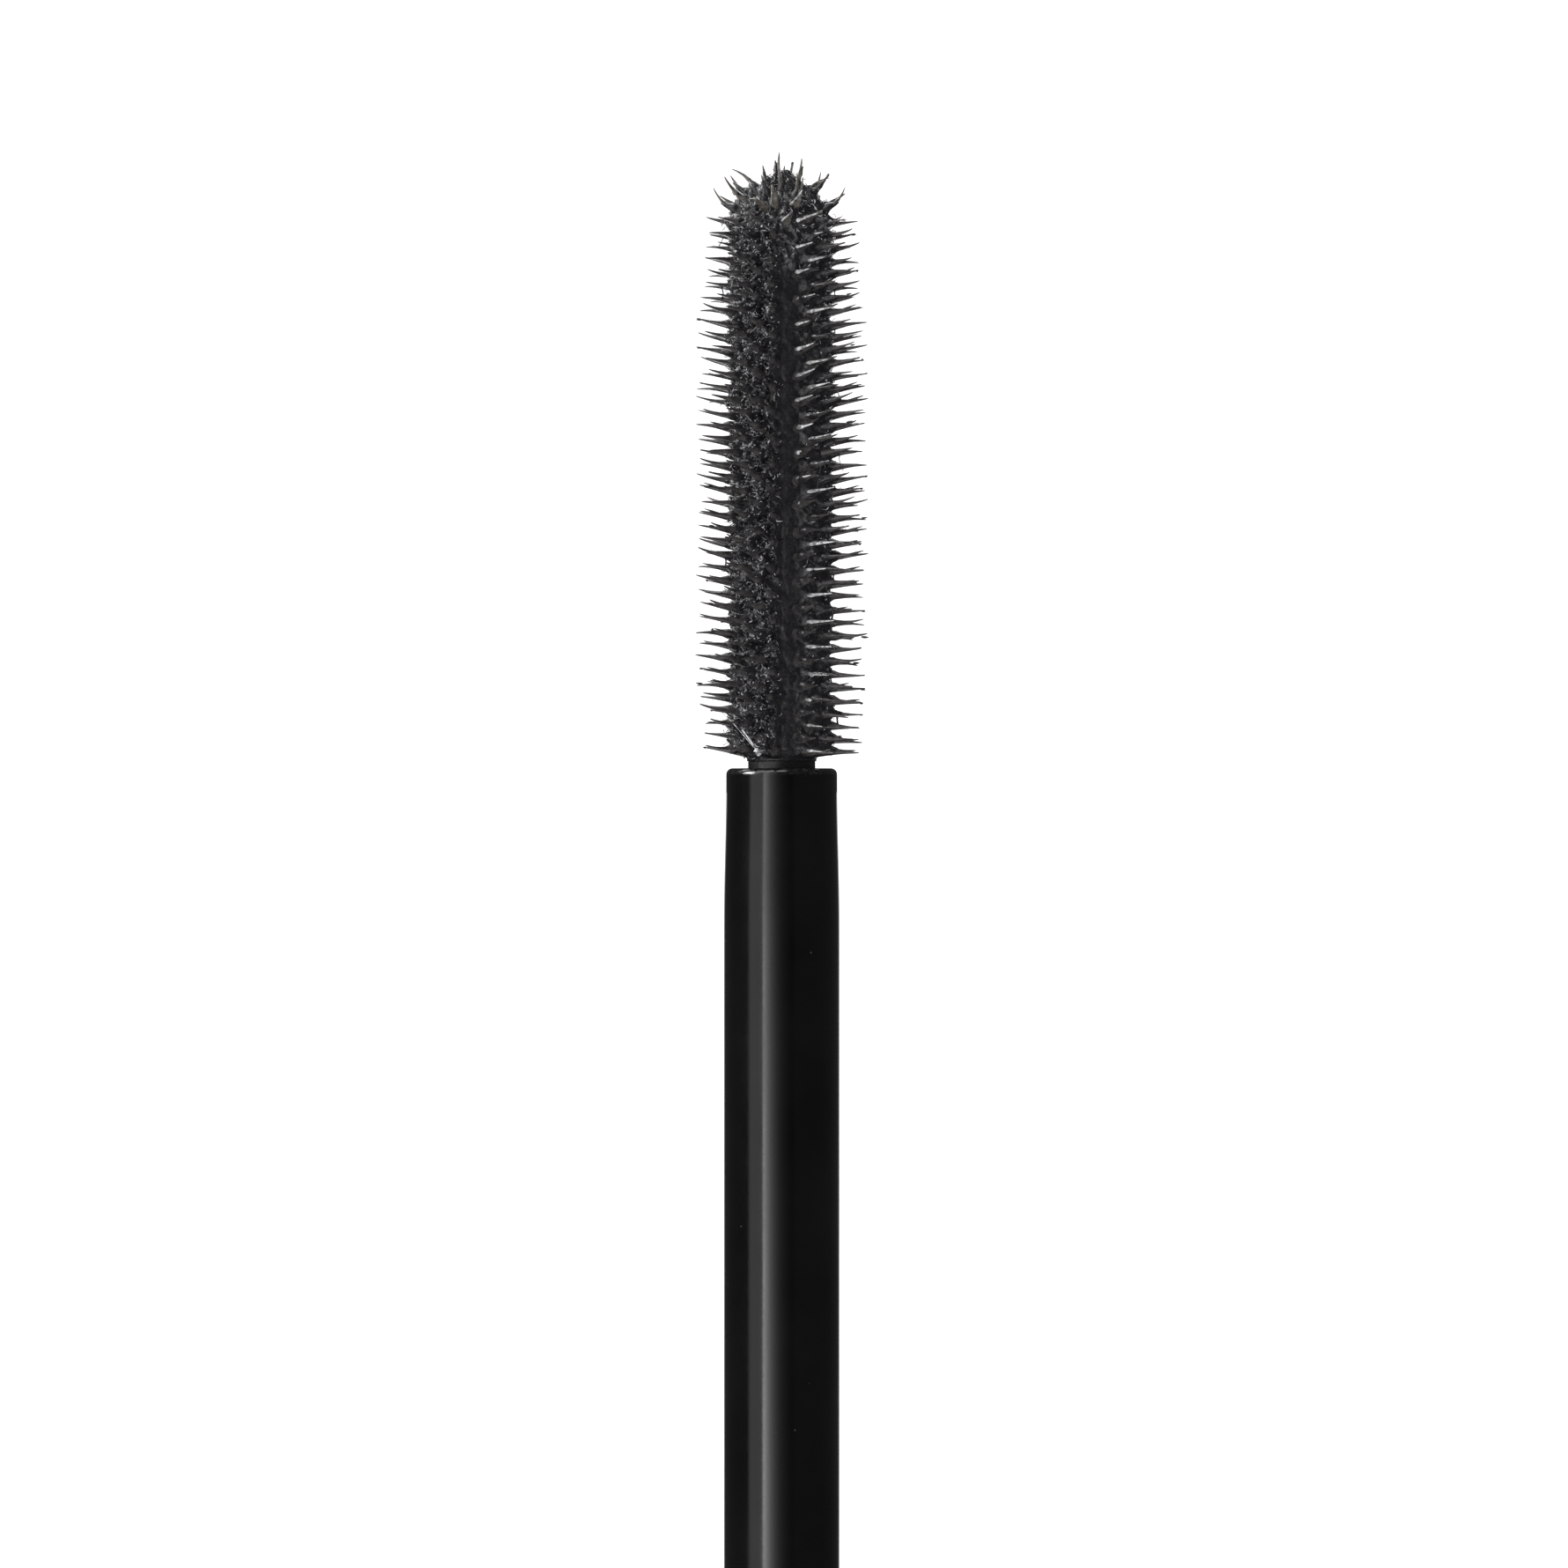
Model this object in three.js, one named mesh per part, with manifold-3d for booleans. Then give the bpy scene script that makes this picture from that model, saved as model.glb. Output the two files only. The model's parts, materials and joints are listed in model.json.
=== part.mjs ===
// A mascara, opened. The wand is drawn fully out of its tube, and both lie in line on a table:
// cap at -Y, then the stem and the brush, then the tube with its mouth facing the brush.
// Millimetres, +Z up, axis along Y. The origin is on the table under the middle of the row.

import * as THREE from 'three';
import { mergeVertices } from 'three/addons/utils/BufferGeometryUtils.js';
import Module from 'manifold-3d';

const wasm = await Module();
wasm.setup();

// Outside of the pack.
const outerRadius = 8.5;
const capLength = 46;
const tubeLength = 74;
const neckLength = 13.5;

// Wand. The stem's free end is y = 0 of the wand, and the cap lies towards -y.
const stemRadius = 2.5;
const stemEndRadius = 2.395;
const stemEndTaper = 6.8;
const exposedStem = 40;
const brushLength = 26.4;

// Brush: a core with staggered rows of thorns. The rows stand around it from one edge of a bare
// strip to the other. Angles are measured about the axis from straight up towards +X.
const coreRadius = 1.6;
const brushNeckRadius = 1.45;
const domeCentre = 23.2;
const domeReach = brushLength - domeCentre;
const rowCount = 22;
const firstRowAngle = THREE.MathUtils.degToRad(22);
const lastRowAngle = THREE.MathUtils.degToRad(350);
const bristlePitch = 1.105;
const bristlesPerRow = 20;
const firstBristle = 1.3;
const bristleBase = 0.26;
const bristleLean = THREE.MathUtils.degToRad(6);

// Fits. The pieces of one body keep a hair's breadth, and running pieces twice that.
const fitGap = 0.15;
const runningGap = 0.3;

// Thread: single start, right hand, one turn from free to closed.
const threadPitch = 3;
const threadHeight = 0.75;
const threadRootWidth = 1.1;
const threadCrestWidth = 0.5;
const threadSink = 0.4;
const neckRadius = 5.4;
const neckBore = 4.35;
const capBore = 6.45;
const neckThreadStart = -11;
const neckThreadTurns = 1.1;
const capThreadFrom = 0.2;
const capThreadTo = 0.98;

// Inner cap, measured as a depth from the cap's rim.
const innerCapRecess = 0.6;
const washerDepth = neckLength;
const washerThickness = 0.9;
const seatDepth = washerDepth + washerThickness + runningGap;
const socketDepth = seatDepth + 8;
const innerCapTop = socketDepth + 1.5;
const stemHeadDepth = socketDepth - runningGap;

// Shells and vial.
const capShellBore = 7.45;
const capEndWall = 1.5;
const weightLength = 8;
const tubeShellBore = 7.4;
const vialRadius = 7.25;
const vialBore = 6;
const vialWall = 1.5;
const collarHeight = 1.6;
const footFlange = 1.05;
const footSkirt = 2;

// The open space between the brush and the mouth when the wand is drawn out.
const drawnGap = 10;
const wandTravel = exposedStem + brushLength + drawnGap + neckLength - runningGap;

// Segments around a turned piece. Flats face down, so a turned piece lies still.
const segments = 32;
const flatsToCorners = 1 / Math.cos(Math.PI / segments);

// A geometry with its points shared and its faces pointing out.
function closed(geometry) {
  geometry.deleteAttribute('normal');
  geometry.deleteAttribute('uv');
  const merged = mergeVertices(geometry, 1e-4);
  const place = merged.getAttribute('position');
  const order = merged.index.array;
  const corner = [new THREE.Vector3(), new THREE.Vector3(), new THREE.Vector3()];
  let volume = 0;
  for (let i = 0; i < order.length; i += 3) {
    corner.forEach((point, k) => point.fromBufferAttribute(place, order[i + k]));
    volume += corner[0].dot(corner[1].cross(corner[2]));
  }
  if (volume < 0) order.reverse();
  return merged;
}

// A piece turned about the Y axis from a list of [radius, y]. Radii are measured to the flats.
function turned(profile) {
  const points = profile.map(([radius, y]) => new THREE.Vector2(radius * flatsToCorners, y));
  return closed(new THREE.LatheGeometry(points, segments, Math.PI / segments));
}

// Points of a round edge in a profile, from one angle to another about a centre.
function roundEdge(radius, y, size, from, to, steps = 3) {
  return Array.from({ length: steps + 1 }, (_, i) => {
    const angle = from + (to - from) * i / steps;
    return [radius + size * Math.cos(angle), y + size * Math.sin(angle)];
  });
}

function toManifold(geometry) {
  return new wasm.Manifold(new wasm.Mesh({
    numProp: 3,
    vertProperties: new Float32Array(geometry.getAttribute('position').array),
    triVerts: new Uint32Array(geometry.index.array),
  }));
}

function fromManifold(solid) {
  const mesh = solid.getMesh();
  const geometry = new THREE.BufferGeometry();
  geometry.setAttribute('position', new THREE.BufferAttribute(mesh.vertProperties, 3));
  geometry.setIndex(new THREE.BufferAttribute(mesh.triVerts, 1));
  return geometry;
}

// A right-hand helix about Y. Its frames keep the normal pointing straight out from the axis.
class Helix extends THREE.Curve {
  constructor(radius, start, fromTurn, toTurn) {
    super();
    this.radius = radius;
    this.start = start;
    this.fromTurn = fromTurn;
    this.toTurn = toTurn;
  }

  turnAt(t) {
    return this.fromTurn + (this.toTurn - this.fromTurn) * t;
  }

  getPoint(t, target = new THREE.Vector3()) {
    const turn = this.turnAt(t);
    const angle = turn * 2 * Math.PI;
    const y = this.start + turn * threadPitch;
    return target.set(this.radius * Math.sin(angle), y, this.radius * Math.cos(angle));
  }

  computeFrenetFrames(steps) {
    const frames = { tangents: [], normals: [], binormals: [] };
    for (let i = 0; i <= steps; i += 1) {
      const angle = this.turnAt(i / steps) * 2 * Math.PI;
      frames.tangents.push(new THREE.Vector3(Math.cos(angle), 0, -Math.sin(angle)));
      frames.normals.push(new THREE.Vector3(Math.sin(angle), 0, Math.cos(angle)));
      frames.binormals.push(new THREE.Vector3(0, 1, 0));
    }
    return frames;
  }
}

// A thread ridge on a wall. side is 1 for a ridge that stands outwards and -1 for one inwards.
function threadRidge(wallRadius, start, fromTurn, toTurn, side) {
  const section = new THREE.Shape();
  section.moveTo(-side * threadSink, -threadRootWidth / 2);
  section.lineTo(0, -threadRootWidth / 2);
  section.lineTo(side * threadHeight, -threadCrestWidth / 2);
  section.lineTo(side * threadHeight, threadCrestWidth / 2);
  section.lineTo(0, threadRootWidth / 2);
  section.lineTo(-side * threadSink, threadRootWidth / 2);
  section.closePath();
  return closed(new THREE.ExtrudeGeometry(section, {
    steps: Math.round((toTurn - fromTurn) * 24),
    extrudePath: new Helix(wallRadius, start, fromTurn, toTurn),
  }));
}

// Height of the thorn tips above the axis: a slim barrel, drawn in towards the tip.
function bristleReach(y) {
  const swell = 0.24 * THREE.MathUtils.smoothstep(y, 1, 5);
  const taper = 0.4 * THREE.MathUtils.smoothstep(y, 18, 24);
  return 3.45 + swell - taper;
}

// One three-sided thorn from inside the core to its tip.
function thorn(height, angle, lean, root) {
  const cone = new THREE.ConeGeometry(bristleBase, height, 3, 1);
  cone.translate(0, height / 2, 0);
  cone.rotateZ(-Math.PI / 2);
  cone.rotateZ(lean);
  cone.translate(root.x, root.y, 0);
  cone.rotateY(angle - Math.PI / 2);
  return toManifold(closed(cone));
}

// Moulded brush: shank with barbs, plain neck, core with its thorns, and a spiked dome.
function brush() {
  const shank = [
    [0, -8], [1.05, -8], [1.45, -7], [1.2, -7], [1.2, -5.4], [1.45, -4.6], [1.2, -4.6],
    [1.2, -3], [brushNeckRadius, -2.6],
  ];
  const core = turned([
    ...shank,
    [brushNeckRadius, 0.65],
    [coreRadius, 0.85],
    ...roundEdge(0, domeCentre, coreRadius, 0, Math.PI / 2, 4),
  ]);
  let solid = toManifold(core);
  const rootRadius = coreRadius - 0.3;
  const rowStep = (lastRowAngle - firstRowAngle) / (rowCount - 1);
  for (let row = 0; row < rowCount; row += 1) {
    const angle = firstRowAngle + row * rowStep;
    const stagger = (row % 2) * bristlePitch / 2;
    for (let i = 0; i < bristlesPerRow; i += 1) {
      const y = firstBristle + stagger + i * bristlePitch;
      const height = bristleReach(y) - rootRadius;
      solid = solid.add(thorn(height, angle, bristleLean, { x: rootRadius, y }));
    }
  }
  const domeRings = [[24, 14], [48, 9], [70, 5], [90, 1]];
  domeRings.forEach(([rise, count], ring) => {
    const lean = THREE.MathUtils.degToRad(rise);
    const root = {
      x: rootRadius * 0.8 * Math.cos(lean),
      y: domeCentre + rootRadius * 0.8 * Math.sin(lean),
    };
    for (let i = 0; i < count; i += 1) {
      const angle = (i + ring / 2) * 2 * Math.PI / count;
      solid = solid.add(thorn(domeReach - rootRadius * 0.8, angle, lean, root));
    }
  });
  return fromManifold(solid);
}

// Stem: bored end for the shank, slightly necked down behind a rounded lip, barbed head.
function stem() {
  const headEnd = -(exposedStem + stemHeadDepth);
  const seat = -(exposedStem + seatDepth);
  const lip = 0.27;
  const boreRadius = brushNeckRadius + fitGap;
  return turned([
    [0, headEnd], [2.1, headEnd], [stemRadius, headEnd + 1], [2.2, headEnd + 1],
    [2.2, headEnd + 3], [stemRadius, headEnd + 4], [2.2, headEnd + 4],
    [2.2, seat - 1], [stemRadius, seat - 1],
    [stemRadius, -stemEndTaper],
    ...roundEdge(stemEndRadius - lip, -lip, lip, 0, Math.PI / 2),
    [boreRadius, 0], [boreRadius, -8.4], [0, -8.4],
  ]);
}

// Threaded liner of the cap, with a blind socket for the stem's head.
function innerCap() {
  const rim = -(exposedStem + innerCapRecess);
  const seat = -(exposedStem + seatDepth);
  const socketEnd = -(exposedStem + socketDepth);
  const top = -(exposedStem + innerCapTop);
  const outside = capShellBore - fitGap;
  const socketRadius = stemRadius + fitGap;
  const liner = turned([
    [0, socketEnd], [socketRadius, socketEnd], [socketRadius, seat], [capBore, seat],
    [capBore, rim], [outside, rim], [outside, top + 0.8], [outside - 0.8, top], [0, top],
  ]);
  // Half a pitch behind the neck's ridge when the rim is down on the collar.
  const start = neckThreadStart + threadPitch / 2 - exposedStem + runningGap;
  const ridge = threadRidge(capBore, start, capThreadFrom, capThreadTo, -1);
  return fromManifold(toManifold(liner).add(toManifold(ridge)));
}

// Outer cap, open at the rim and closed at its end.
function capShell() {
  const rim = -exposedStem;
  const end = rim - capLength;
  const edge = 0.9;
  return turned([
    [0, end], ...roundEdge(outerRadius - edge, end + edge, edge, -Math.PI / 2, 0),
    [outerRadius, rim - 0.25], [outerRadius - 0.25, rim], [capShellBore, rim],
    [capShellBore, end + capEndWall], [0, end + capEndWall],
  ]);
}

// Steel slug against the closed end of the cap.
function capWeight() {
  const far = -(exposedStem + capLength - capEndWall - fitGap);
  const near = far + weightLength;
  const radius = capShellBore - fitGap;
  return turned([
    [0, far], [radius - 0.4, far], [radius, far + 0.4],
    [radius, near - 0.4], [radius - 0.4, near], [0, near],
  ]);
}

// Soft ring, loose around the stem under the seat of the inner cap.
function sealingWasher() {
  const near = -(exposedStem + washerDepth);
  const far = near - washerThickness;
  return turned([
    [stemRadius + runningGap, far], [5.6, far], [5.6, near],
    [stemRadius + runningGap, near], [stemRadius + runningGap, far],
  ]);
}

// Inner bottle with its threaded neck. The shoulder plane is y = 0 of the tube.
function vial() {
  const mouth = -neckLength + 0.6;
  const shoulder = collarHeight + fitGap;
  const end = tubeLength - footFlange - footSkirt - fitGap;
  const floor = end - vialWall;
  const bottle = turned([
    [0, floor], [vialBore - 0.8, floor], [vialBore, floor - 0.8], [vialBore, shoulder + 2.8],
    [neckBore, shoulder + 0.8], [neckBore, mouth], [neckRadius, mouth], [neckRadius, shoulder],
    [vialRadius - 0.5, shoulder], [vialRadius, shoulder + 0.5], [vialRadius, end - 1],
    [vialRadius - 1, end], [0, end],
  ]);
  const ridge = threadRidge(neckRadius, neckThreadStart, 0, neckThreadTurns, 1);
  return fromManifold(toManifold(bottle).add(toManifold(ridge)));
}

// Soft sleeve in the neck with a flange on the mouth and a lip that scrapes the stem.
function wiper() {
  const sleeve = neckBore - fitGap;
  const bore = sleeve - 0.4;
  const lip = 2.4;
  const top = -neckLength;
  const flange = top + 0.45;
  return turned([
    [bore, top], [bore, -4], [lip, -0.8], [lip, -0.3], [lip + 0.4, -0.3], [sleeve, -3.9],
    [sleeve, flange], [neckRadius - 0.1, flange], [neckRadius - 0.1, top], [bore, top],
  ]);
}

// Trim ring on the shoulder.
function collarRing() {
  const bore = neckRadius + fitGap;
  const edge = 0.2;
  return turned([
    [bore, 0], [outerRadius - edge, 0], [outerRadius, edge],
    [outerRadius, collarHeight], [bore, collarHeight], [bore, 0],
  ]);
}

// Outer sleeve, open at both ends.
function tubeShell() {
  const top = collarHeight + fitGap;
  const end = tubeLength - footFlange - fitGap;
  return turned([
    [tubeShellBore, top], [outerRadius, top], [outerRadius, end],
    [tubeShellBore, end], [tubeShellBore, top],
  ]);
}

// Foot with a skirt inside the sleeve and a shallow recess for the label.
function basePlug() {
  const under = tubeLength - footFlange;
  const edge = 0.5;
  const skirt = tubeShellBore - fitGap;
  return turned([
    [0, under], [skirt - 1.2, under], [skirt - 1.2, under - footSkirt],
    [skirt, under - footSkirt], [skirt, under], [outerRadius, under],
    ...roundEdge(outerRadius - edge, tubeLength - edge, edge, 0, Math.PI / 2),
    [5.7, tubeLength], [5.7, tubeLength - 0.45], [0, tubeLength - 0.45],
  ]);
}

// Blank round label in the recess of the foot.
function baseLabel() {
  const inside = tubeLength - 0.35;
  const outside = tubeLength - 0.1;
  return turned([[0, inside], [5.5, inside], [5.5, outside], [0, outside]]);
}

// Formula on the vial's wall and floor, with the channel that the brush has worn in it.
function formulaFill() {
  const coat = vialBore - fitGap;
  const channel = 4.6;
  const top = 18;
  const floor = tubeLength - footFlange - footSkirt - vialWall - 2 * fitGap;
  return turned([
    [0, floor - 1.5], [channel, floor - 1.5], [channel, top], [coat, top],
    [coat, floor - 0.8], [coat - 0.8, floor], [0, floor],
  ]);
}

const blackPlastic = { color: '#1b1b1d', roughness: 0.32, metalness: 0 };
const blackElastomer = { color: '#1e1d20', roughness: 0.45, metalness: 0 };
const liner = { color: '#2a2a2c', roughness: 0.5, metalness: 0 };
const steel = { color: '#8f9194', roughness: 0.4, metalness: 1 };
const softPlastic = { color: '#d9d8d2', roughness: 0.5, metalness: 0 };
const vialPlastic = { color: '#3a3a3d', roughness: 0.2, metalness: 0 };
const polishedMetal = { color: '#b9bbbf', roughness: 0.2, metalness: 1 };
const wetFormula = { color: '#121214', roughness: 0.2, metalness: 0 };
const paper = { color: '#e6e4df', roughness: 0.7, metalness: 0 };

// Names a piece and gives it its own material.
function piece(name, geometry, finish) {
  geometry.computeVertexNormals();
  const mesh = new THREE.Mesh(geometry, new THREE.MeshStandardMaterial(finish));
  mesh.name = name;
  return mesh;
}

const wand = new THREE.Group();
wand.add(piece('brush', brush(), blackElastomer));
wand.add(piece('stem', stem(), blackPlastic));
wand.add(piece('inner_cap', innerCap(), liner));
wand.add(piece('cap_shell', capShell(), blackPlastic));
wand.add(piece('cap_weight', capWeight(), steel));
wand.add(piece('sealing_washer', sealingWasher(), softPlastic));

const tube = new THREE.Group();
tube.add(piece('vial', vial(), vialPlastic));
tube.add(piece('wiper', wiper(), softPlastic));
tube.add(piece('tube_shell', tubeShell(), blackPlastic));
tube.add(piece('collar_ring', collarRing(), polishedMetal));
tube.add(piece('base_plug', basePlug(), blackPlastic));
tube.add(piece('base_label', baseLabel(), paper));
tube.add(piece('formula_fill', formulaFill(), wetFormula));

// The wand's shoulder-to-cap distance when drawn out is its travel.
const capEnd = -(exposedStem + capLength);
const shoulder = wandTravel - exposedStem + runningGap;
const middle = (capEnd + shoulder + tubeLength) / 2;
wand.position.set(0, -middle, outerRadius);
tube.position.set(0, shoulder - middle, outerRadius);

const mascara = new THREE.Group();
mascara.add(wand);
mascara.add(tube);

export default mascara;
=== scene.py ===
import functools
import json
import random
from math import cos, exp, pi, radians, sin, tan

import bmesh
import bpy
import numpy as np
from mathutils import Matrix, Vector, noise

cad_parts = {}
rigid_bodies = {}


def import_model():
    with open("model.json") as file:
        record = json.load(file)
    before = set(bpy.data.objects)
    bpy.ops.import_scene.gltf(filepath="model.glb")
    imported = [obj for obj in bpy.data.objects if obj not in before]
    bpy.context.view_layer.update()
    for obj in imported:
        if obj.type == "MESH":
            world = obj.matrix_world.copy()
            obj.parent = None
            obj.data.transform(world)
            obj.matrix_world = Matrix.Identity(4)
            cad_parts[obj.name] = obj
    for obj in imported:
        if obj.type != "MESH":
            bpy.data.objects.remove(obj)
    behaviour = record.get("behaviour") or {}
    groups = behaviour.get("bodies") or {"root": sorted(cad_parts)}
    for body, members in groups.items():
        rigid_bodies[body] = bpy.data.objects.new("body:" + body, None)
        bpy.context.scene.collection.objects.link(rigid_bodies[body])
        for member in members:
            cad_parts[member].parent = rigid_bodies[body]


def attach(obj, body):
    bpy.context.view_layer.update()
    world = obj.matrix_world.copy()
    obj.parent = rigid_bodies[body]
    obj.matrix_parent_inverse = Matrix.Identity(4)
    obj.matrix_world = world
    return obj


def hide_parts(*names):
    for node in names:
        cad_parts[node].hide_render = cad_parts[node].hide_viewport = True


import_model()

scene = bpy.context.scene
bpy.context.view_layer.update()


# Moulded brush: core, neck and barbed shank are one shot of black elastomer, pushed into the stem.
# The core is a plain rod with a round end. The thorns stand on it in rows, all but on one bare strip.
MM = 0.001
wand_end = Vector((0, -18.95 * MM, 8.5 * MM))
core_radius = 1.6
brush_neck_radius = 1.45
dome_centre = 23.2


def feed(tree, node, inputs):
    """Sets the inputs of a node to values, or joins them to the outputs of other nodes."""
    for key, value in inputs.items():
        if isinstance(value, bpy.types.NodeSocket):
            tree.links.new(value, node.inputs[key])
        else:
            node.inputs[key].default_value = value


def add(tree, kind, inputs=None, **settings):
    """A new node in a tree, with its inputs and its settings."""
    made = tree.nodes.new(kind)
    for key, value in settings.items():
        setattr(made, key, value)
    feed(tree, made, inputs or {})
    return made


def calc(tree, operation, a, b=0.0, c=0.0):
    """One step of arithmetic in a tree."""
    return add(tree, "ShaderNodeMath", {0: a, 1: b, 2: c}, operation=operation).outputs[0]


def spread(tree, value, low, high, to_low, to_high, way="LINEAR"):
    """Maps a value from one range to another in a tree."""
    return add(tree, "ShaderNodeMapRange", {0: value, 1: low, 2: high, 3: to_low, 4: to_high},
        interpolation_type=way).outputs[0]


def blended(tree, share, a, b):
    """Two colours mixed in a tree."""
    return add(tree, "ShaderNodeMix", {0: share, 6: a, 7: b}, data_type="RGBA").outputs[2]


def cloud(tree, place, scale, detail, roughness=0.5, distortion=0.0):
    """Cloudy noise, with its scale per metre."""
    return add(tree, "ShaderNodeTexNoise", {"Vector": place, "Scale": scale, "Detail": detail,
        "Roughness": roughness, "Distortion": distortion}).outputs["Fac"]


def bump(tree, height, distance, under=None):
    """A relief of its own, or on top of another."""
    values = {"Height": height, "Distance": distance, "Strength": 1.0}
    if under is not None:
        values["Normal"] = under
    return add(tree, "ShaderNodeBump", values).outputs[0]


def new_finish(name):
    """An empty material, its tree, its shader, and the place on the object that its patterns read."""
    material = bpy.data.materials.new(name)
    material.use_nodes = True
    tree = material.node_tree
    return material, tree, tree.nodes["Principled BSDF"], add(tree, "ShaderNodeTexCoord").outputs["Object"]


def moulded(name, deep, pale, smooth, rough, grain=0.12, peel=3e-6, drawn=2e-6, dust=0.35, patch=4.0,
        worn=(0.05, 0.05, 0.052), rub=0.75, metal=0.0, coat=0.0, shine=0.5):
    """A moulded or turned finish. Colour drifts over millimetres, the grain is finer, draw lines run
    along the axis, rubbed edges are paler and duller, and a few specks of dust lie on it."""
    material, tree, shader, place = new_finish(name)
    drift = cloud(tree, place, 1000 / patch, 3.0)
    fine = cloud(tree, place, 1000 / grain, 4.0, 0.6)
    along = add(tree, "ShaderNodeMapping", {"Vector": place, "Scale": (1.0, 0.02, 1.0)}).outputs[0]
    lines = cloud(tree, along, 9000.0, 3.0)
    specks = add(tree, "ShaderNodeTexVoronoi", {"Vector": place, "Scale": 1150.0}).outputs["Distance"]
    some = spread(tree, cloud(tree, place, 700.0, 1.0), 0.56, 0.6, 0.0, dust)
    speck = calc(tree, "MULTIPLY", spread(tree, specks, 0.035, 0.06, 1.0, 0.0), some)
    edge = add(tree, "ShaderNodeAttribute", attribute_name="edge").outputs["Fac"]
    rubbed = calc(tree, "MULTIPLY", edge, spread(tree, fine, 0.42, 0.62, 0.0, rub))
    body = blended(tree, spread(tree, drift, 0.3, 0.7, 0.0, 1.0), (*deep, 1), (*pale, 1))
    body = blended(tree, rubbed, body, (*worn, 1))
    body = blended(tree, speck, body, (0.12, 0.12, 0.115, 1))
    dull = spread(tree, calc(tree, "ADD", calc(tree, "MULTIPLY", drift, 0.5),
        calc(tree, "MULTIPLY", fine, 0.5)), 0.35, 0.65, smooth, rough)
    dull = calc(tree, "ADD", dull, calc(tree, "MULTIPLY", calc(tree, "MAXIMUM", rubbed, speck), 0.25))
    relief = bump(tree, speck, 1e-5, bump(tree, lines, drawn, bump(tree, fine, peel)))
    feed(tree, shader, {"Base Color": body, "Roughness": dull, "Metallic": metal,
        "Specular IOR Level": shine, "Coat Weight": coat, "Coat Roughness": 0.06, "Normal": relief})
    return material


def outline(*corners):
    """A profile from (radius, y, round) corners in millimetres. A corner with a round gets an arc,
    whose points are marked as edge, and an unmarked point on either side of it, where the mark fades
    out. A round below 0 marks a plain point as edge."""
    points = []
    for i, (radius, y, size) in enumerate(corners):
        here = Vector((radius, y))
        if size <= 0:
            points.append((radius, y, float(size < 0)))
            continue
        before = Vector(corners[i - 1][:2]) - here
        after = Vector(corners[(i + 1) % len(corners)][:2]) - here
        half = before.angle(after) / 2
        reach = min(size / tan(half), before.length * 0.49, after.length * 0.49)
        start, end = here + before.normalized() * reach, here + after.normalized() * reach
        middle = here + (before.normalized() + after.normalized()).normalized() * reach / cos(half)
        fade_in, fade_out = (here + way.normalized() * (reach + min(0.4, 0.4 * (way.length / 2 - reach)))
            for way in (before, after))
        points.append((fade_in.x, fade_in.y, 0.0))
        for k in range(6):
            swing = start.lerp(end, k / 5) - middle
            arc = middle + swing.normalized() * (start - middle).length
            points.append((arc.x, arc.y, 1.0))
        points.append((fade_out.x, fade_out.y, 0.0))
    return points


def mesh_of(name, points, faces, edges=()):
    """A plain mesh from its points and its faces or edges."""
    mesh = bpy.data.meshes.new(name)
    mesh.from_pydata([tuple(p) for p in points], edges, faces)
    return mesh


def mark(mesh, name, values):
    """Writes a number at each point of a mesh."""
    mesh.attributes.new(name, "FLOAT", "POINT").data.foreach_set("value", np.asarray(values, np.float32))


def piece(name, points, faces, body, material, edge=None, sharp=34.0):
    """A finished mesh object: smooth faces, sharp corners where they turn hard, riding on its body."""
    mesh = mesh_of(name, points, faces)
    work = bmesh.new()
    work.from_mesh(mesh)
    bmesh.ops.recalc_face_normals(work, faces=work.faces)
    if work.calc_volume(signed=True) < 0:
        bmesh.ops.reverse_faces(work, faces=work.faces)
    for side in work.edges:
        side.smooth = side.calc_face_angle(0) < radians(sharp)
    for face in work.faces:
        face.smooth = True
    work.to_mesh(mesh)
    work.free()
    if edge is not None:
        mark(mesh, "edge", edge)
    return fitted(name, mesh, body, material)


def in_scene(name, data):
    """A new object in the scene."""
    made = bpy.data.objects.new(name, data)
    scene.collection.objects.link(made)
    return made


def fitted(name, mesh, body, material):
    """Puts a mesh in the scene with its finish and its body."""
    made = in_scene(name, mesh)
    made.data.materials.clear()
    made.data.materials.append(material)
    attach(made, body)
    return made


def turned(name, corners, start, body, material, sides=96, relief=None):
    """A piece turned about the axis of the mascara. start is the row's y where the profile has y = 0."""
    points, edge, rings = [], [], []
    for radius, y, mark in outline(*corners):
        if radius < 1e-6:
            rings.append([len(points)])
            points.append((0.0, (start + y) * MM, wand_end.z))
            edge.append(mark)
            continue
        rings.append(list(range(len(points), len(points) + sides)))
        for i in range(sides):
            angle = 2 * pi * i / sides
            out = radius + (relief(angle, radius, y) if relief else 0.0)
            points.append((out * MM * sin(angle), (start + y) * MM, wand_end.z + out * MM * cos(angle)))
            edge.append(mark)
    faces = []
    for a, b in zip(rings, rings[1:] + rings[:1]):
        for i in range(sides):
            k = (i + 1) % sides
            if len(a) > 1 and len(b) > 1:
                faces.append((a[i], a[k], b[k], b[i]))
            elif len(a) > 1:
                faces.append((a[i], a[k], b[0]))
            elif len(b) > 1:
                faces.append((a[0], b[k], b[i]))
    return piece(name, points, faces, body, material, edge)


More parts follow.
